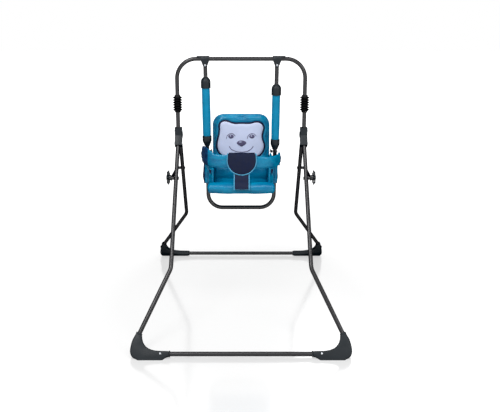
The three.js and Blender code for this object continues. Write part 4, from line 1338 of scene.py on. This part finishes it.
def band_path(t):
    """The band's middle line seen from above, from the left end (-1) to the right (1)."""
    half = [(0, -125), (38, -124.5), (70, -123.5), (98, -120), (121, -113), (140, -101),
            (153, -86), (163, -66), (172, -42), (178, -18), (181, 4), (181, 13)]
    places = smooth_loop(half, 80, closed=False)
    at = abs(t) * (len(places) - 1)
    i = min(int(at), len(places) - 2)
    spot = places[i].lerp(places[i + 1], at - i)
    return Vector((spot.x * (1 if t >= 0 else -1), spot.y))


# Where the band's upper edge stands up on the left, as shares of half its length, and by
# how many millimetres.
RAISED = {"from": 0.38, "along": 0.56, "by": 22}
GATHERED_FROM = 0.62  # the share of half the band's length that is smooth


def band_edges(t):
    """The band's upper and lower edges along it. Its right end hangs lower."""
    right = max(0.0, t)
    high = 772 - 13 * max(0.0, min(1.0, (t + 0.1) / 0.5)) - 10 * right ** 3
    low = 711 - 5 * max(0.0, min(1.0, t / 0.5)) - 16 * right ** 3
    raised = (-t - RAISED["from"]) / RAISED["along"]
    if raised > 0:
        high += RAISED["by"] * math.sin(math.pi * min(1.0, raised)) ** 0.6
    return high, low


def gathering(t):
    """How tightly the band is gathered there: 0 in its middle, 1 at its ends."""
    return max(0.0, (abs(t) - GATHERED_FROM) / (1 - GATHERED_FROM)) ** 1.3


def ruffle(t):
    """How far the gathers lift the band's upper edge, in millimetres."""
    return gathering(t) * (3.2 * math.sin(t * 55) + 1.6 * math.sin(t * 131 + 1))


class SWING_OT_band(bpy.types.Operator):
    """Sews the belly band with its gathered ends, the bib and the strap"""

    bl_idname = "swing.band"
    bl_label = "Belly band, bib and strap"

    def execute(self, context):
        piping = context.scene.swing_sizes.piping
        self.band()
        self.bib(piping)
        self.strap(piping)
        return {"FINISHED"}

    @staticmethod
    def strip(start, end, count, extra):
        """The band between two places along it, `extra` millimetres thicker."""
        around = 40
        rings = []
        for k in range(count + 1):
            t = start + (end - start) * k / count
            spot = band_path(t)
            ahead, behind = band_path(min(1, t + 0.01)), band_path(max(-1, t - 0.01))
            heading = (ahead - behind).normalized()
            out = Vector((heading.y, -heading.x))
            high, low = band_edges(t)
            gather = gathering(t)
            thick = 6.6 - 3.6 * gather + extra
            size = 1.0
            to_end = min(t - start, end - t) / 0.025
            if to_end < 1:
                size = max(1e-4, math.sqrt(1 - (1 - max(0.0, to_end)) ** 2))
            middle, half = (high + low) / 2, (high - low) / 2 + extra * 0.6
            section = []
            for j in range(around):
                angle = 2 * math.pi * j / around
                c, s = math.cos(angle), math.sin(angle)
                rise = math.copysign(abs(c) ** 0.55, c)
                depth = math.copysign(abs(s) ** 0.75, s)
                z = middle + half * rise * (0.55 + 0.45 * size) + ruffle(t) * max(0.0, rise)
                wave = gather * (
                    1.8 * math.sin(z / 6.1 + t * 9) + 2.6 * math.sin(t * 74 + z / 16)
                ) + 1.6 * noise.noise(Vector((t * 9, z / 24, 0)))
                pad = thick * (1 - 0.12 * gather) * depth * size
                crown = 1.2 * math.sin(math.pi * (0.5 + 0.5 * rise))
                offset = pad + wave * 0.8 + crown * depth
                section.append(point(spot.x + out.x * offset, spot.y + out.y * offset, z))
            rings.append(section)
        return loft(rings)

    def band(self):
        made = piece("belly_pad", self.strip(-1, 1, 150, 0), "vinyl", "swing", "blue_vinyl",
                     ["belly_band"])
        subdivided(made)
        # The band's ends are wrapped in the dark lining colour, its long left end as painted
        # shade.
        for name, start, end in (("left", -1, -0.5), ("right", 0.93, 1)):
            bm = self.strip(start, end, 44, 1.2)
            trim(f"band_back_and_shade_{name}", bm, "lining_and_shade", "navy_cloth", made)
        for name, side in SIDES.items():
            self.end_binding(name, side, made)
        self.hems(made)

    def end_binding(self, name, side, band):
        """Navy binding down the band's gathered end."""
        high, low = band_edges(side)
        spot = band_path(side)
        places = []
        for k in range(33):
            t = k / 32
            z = high + 1 - (high - low + 1) * t
            bulge = 5.5 * math.sin(math.pi * min(1.0, t * 1.15)) + 0.9 * math.sin(t * 21)
            y = spot.y - 6 + 5 * math.cos(t * 5)
            places.append(point(side * (abs(spot.x) + 1 + bulge), y, z))
        bm = cord_along(places, 0.0032, count=10)
        trim(f"band_binding_{name}", bm, "binding", "navy_cloth", band)

    def hems(self, band):
        """Rolled hems along the band's upper and lower edges."""
        for which, label in enumerate(("upper", "lower")):
            places = []
            for k in range(121):
                t = -0.97 + 1.94 * k / 120
                spot = band_path(t)
                z = band_edges(t)[which]
                z += 1.5 if which else ruffle(t) - 1.5
                places.append(point(spot.x, spot.y - 1.5, z))
            bm = cord_along(places, 0.002, count=8)
            trim(f"band_hem_{label}", bm, "vinyl", "blue_vinyl", band)

    def bib(self, piping):
        centre_x, centre_z, radius, top, face = 3, 746, 66, 783, -131.8
        outline = []
        for k in range(73):
            angle = math.radians(-188 + 196 * k / 72)
            outline.append((radius * math.cos(angle), centre_z + radius * math.sin(angle)))
        outline = [(-61, top), (-65, top - 11), *outline, (65, top - 11), (61, top)]
        outline += [(30, top + 1.2), (0, top + 1.6), (-30, top + 1.2)]
        loop = smooth_loop(outline, 110)
        middle = Vector((0, centre_z))

        def row(share, forward):
            made = []
            for p in loop:
                q = middle + (p - middle) * max(share, 1e-4)
                made.append(point(centre_x + q.x, face - forward, q.y))
            return made

        rows = [row(0, 0), row(0.5, 0), row(0.94, 0), row(0.99, 0.8), row(1, 2.5), row(0.99, 4.4)]
        rows += [row(share, 4.4 + 4.0 * (1 - share ** 2.2))
                 for share in (0.95, 0.88, 0.78, 0.66, 0.52, 0.36, 0.18, 0)]
        made = piece("bib_pad", loft(rows), "navy", "swing", "navy_cloth", ["crotch_strap"])
        pushed(made, lambda p: 0.0007 * folds(p, 22))
        subdivided(made)
        sides = [q for q in outline if q[1] < top]
        lower = smooth_loop([(-63, top - 2), *sides, (63, top - 2)], 90, closed=False)
        places = [point(centre_x + p.x * 1.012, face - 3.2, centre_z + (p.y - centre_z) * 1.012)
                  for p in lower]
        bm = cord_along(places, piping, count=12)
        trim("bib_piping", bm, "piping", "navy_cloth", made)
        hem = [point(centre_x + x, face - 4.4, top + 0.4) for x in range(-58, 59, 4)]
        trim("bib_hem", cord_along(hem, 0.0018, count=8), "binding", "navy_cloth", made)

    def strap(self, piping):
        side_view = [(-127, 706), (-128, 692), (-130, 682), (-136, 671), (-147, 659),
                     (-160, 648), (-170, 636), (-174, 627), (-174, 620)]
        path = smooth_loop(side_view, 40, closed=False)
        half, thick, centre_x = 33, 2.4, 2.5
        rings = []
        for i, spot in enumerate(path):
            before, after = path[max(0, i - 1)], path[min(len(path) - 1, i + 1)]
            heading = (after - before).normalized()
            out = Vector((heading.y, -heading.x))
            if out.x > 0:
                out = -out
            end = min(i, len(path) - 1 - i)
            size = 0.35 if end == 0 else 1.0
            section = []
            for j in range(32):
                angle = 2 * math.pi * j / 32
                c, s = math.cos(angle), math.sin(angle)
                x = half * math.copysign(abs(c) ** 0.35, c)
                away = thick * math.copysign(abs(s) ** 0.7, s) * size
                away += 0.6 * (1 - (x / half) ** 2) if s > 0 else 0
                place = spot + out * away
                section.append(point(centre_x + x, place.x, place.y))
            rings.append(section)
        made = piece("crotch_pad", capped(loft(rings)), "navy", "swing", "navy_cloth")
        for name, side in SIDES.items():
            places = [point(centre_x + side * (half + 1.2), p.x - 0.8, p.y) for p in path[8:]]
            bm = cord_along(places, piping, count=12)
            trim(f"strap_piping_{name}", bm, "piping", "navy_cloth", made)
        stitches = []
        end = path[-1]
        for k in range(12):
            x = centre_x - half + 4 + (2 * half - 8) * k / 11
            stitches.append(cord_along(
                [point(x - 1.8, end.x - 2.9, end.y + 3), point(x + 1.8, end.x - 2.9, end.y + 3)],
                0.0006, count=6,
            ))
        trim("strap_stitches", merged(*stitches), "piping", "navy_cloth", made)


# ------------------------------------------------------------ stage


class SWING_OT_stage(bpy.types.Operator):
    """Sets the pale floor, the soft lamps and the camera"""

    bl_idname = "swing.stage"
    bl_label = "Stage"

    def execute(self, context):
        scene = context.scene
        scene.view_settings.view_transform = "Standard"
        bm = bmesh.new()
        bmesh.ops.create_grid(bm, x_segments=1, y_segments=1, size=14)
        bmesh.ops.translate(bm, vec=(0, 0, -0.0004), verts=bm.verts)
        mesh = bpy.data.meshes.new("floor")
        bm.to_mesh(mesh)
        bm.free()
        floor = bpy.data.objects.new("floor", mesh)
        scene.collection.objects.link(floor)
        mesh.materials.append(self.white_floor())
        self.world(scene)
        for name, settings in LAMPS.items():
            self.lamp(name, *settings)
        self.camera(scene)
        return {"FINISHED"}

    @staticmethod
    def white_floor():
        made, tree, shader, where = surface("white_floor", Roughness=0.15, IOR=2.2)
        seen = SWING_OT_stage.seen(tree)
        shader.inputs["Base Color"].default_value = grey(0.36)
        shader.inputs["Emission Color"].default_value = grey(1.0)
        away = add_node(tree, "VectorMath", {0: where}, operation="LENGTH")
        level = add_node(
            tree, "MapRange",
            {"Value": away.outputs["Value"], "From Min": FLOOR_FADE[0],
             "From Max": FLOOR_FADE[1], "To Min": FLOOR_NEAR, "To Max": 1.0},
        )
        glow = add_node(tree, "Math", {0: seen, 1: level.outputs["Result"]}, operation="MULTIPLY")
        tree.links.new(glow.outputs["Value"], shader.inputs["Emission Strength"])
        return made

    @staticmethod
    def seen(tree):
        """1 where the camera, a mirror or a glass looks, and 0 for other light."""
        path = add_node(tree, "LightPath")
        found = path.outputs["Is Camera Ray"]
        for ray in ("Is Glossy Ray", "Is Transmission Ray"):
            found = add_node(tree, "Math", {0: found, 1: path.outputs[ray]},
                             operation="MAXIMUM").outputs["Value"]
        return found

    @staticmethod
    def world(scene):
        world = bpy.data.worlds.new("studio")
        scene.world = world
        world.use_nodes = True
        tree = world.node_tree
        back = tree.nodes["Background"]
        shade = add_node(tree, "MapRange", {"Value": SWING_OT_stage.seen(tree),
                                            "To Min": WORLD_LIGHT, "To Max": 1.0})
        back.inputs["Color"].default_value = grey(1.0)
        tree.links.new(shade.outputs["Result"], back.inputs["Strength"])

    @staticmethod
    def lamp(name, place, power, wide, deep):
        light = bpy.data.lights.new(name, "AREA")
        light.shape = "RECTANGLE"
        light.energy, light.size, light.size_y = power, wide, deep
        made = bpy.data.objects.new(name, light)
        made.location = place
        towards = LAMPS_AIM - Vector(place)
        made.rotation_euler = towards.to_track_quat("-Z", "Y").to_euler()
        bpy.context.scene.collection.objects.link(made)

    @staticmethod
    def camera(scene):
        lens = bpy.data.cameras.new("camera")
        lens.sensor_width, lens.lens = 36, CAMERA_LENS
        lens.shift_x, lens.shift_y = CAMERA_SHIFT
        lens.clip_end = 60
        made = bpy.data.objects.new("camera", lens)
        made.location = CAMERA_PLACE
        made.rotation_euler = (math.radians(90 - CAMERA_TILT), 0, 0)
        scene.collection.objects.link(made)
        scene.camera = made


STEPS = (
    SWING_OT_stage, SWING_OT_tubes, SWING_OT_boots, SWING_OT_joints, SWING_OT_hangers,
    SWING_OT_back, SWING_OT_seat, SWING_OT_sides, SWING_OT_band,
)


class SWING_PT_panel(bpy.types.Panel):
    """The swing's pieces, in the order in which they are made"""

    bl_idname = "SWING_PT_panel"
    bl_label = "Toddler swing"
    bl_space_type = "VIEW_3D"
    bl_region_type = "UI"
    bl_category = "Swing"

    def draw(self, context):
        for step in STEPS:
            self.layout.operator(step.bl_idname)
        for group in (context.scene.swing_sizes, context.scene.swing_colours):
            for key in group.__annotations__:
                self.layout.prop(group, key)


CLASSES = (SwingSizes, SwingColours, *STEPS, SWING_PT_panel)


def register():
    for made in CLASSES:
        bpy.utils.register_class(made)
    bpy.types.Scene.swing_sizes = PointerProperty(type=SwingSizes)
    bpy.types.Scene.swing_colours = PointerProperty(type=SwingColours)


def unregister():
    del bpy.types.Scene.swing_colours
    del bpy.types.Scene.swing_sizes
    for made in reversed(CLASSES):
        bpy.utils.unregister_class(made)


def main():
    register()
    for step in STEPS:
        group, name = step.bl_idname.split(".")
        getattr(getattr(bpy.ops, group), name)()


if __name__ == "__main__":
    main()
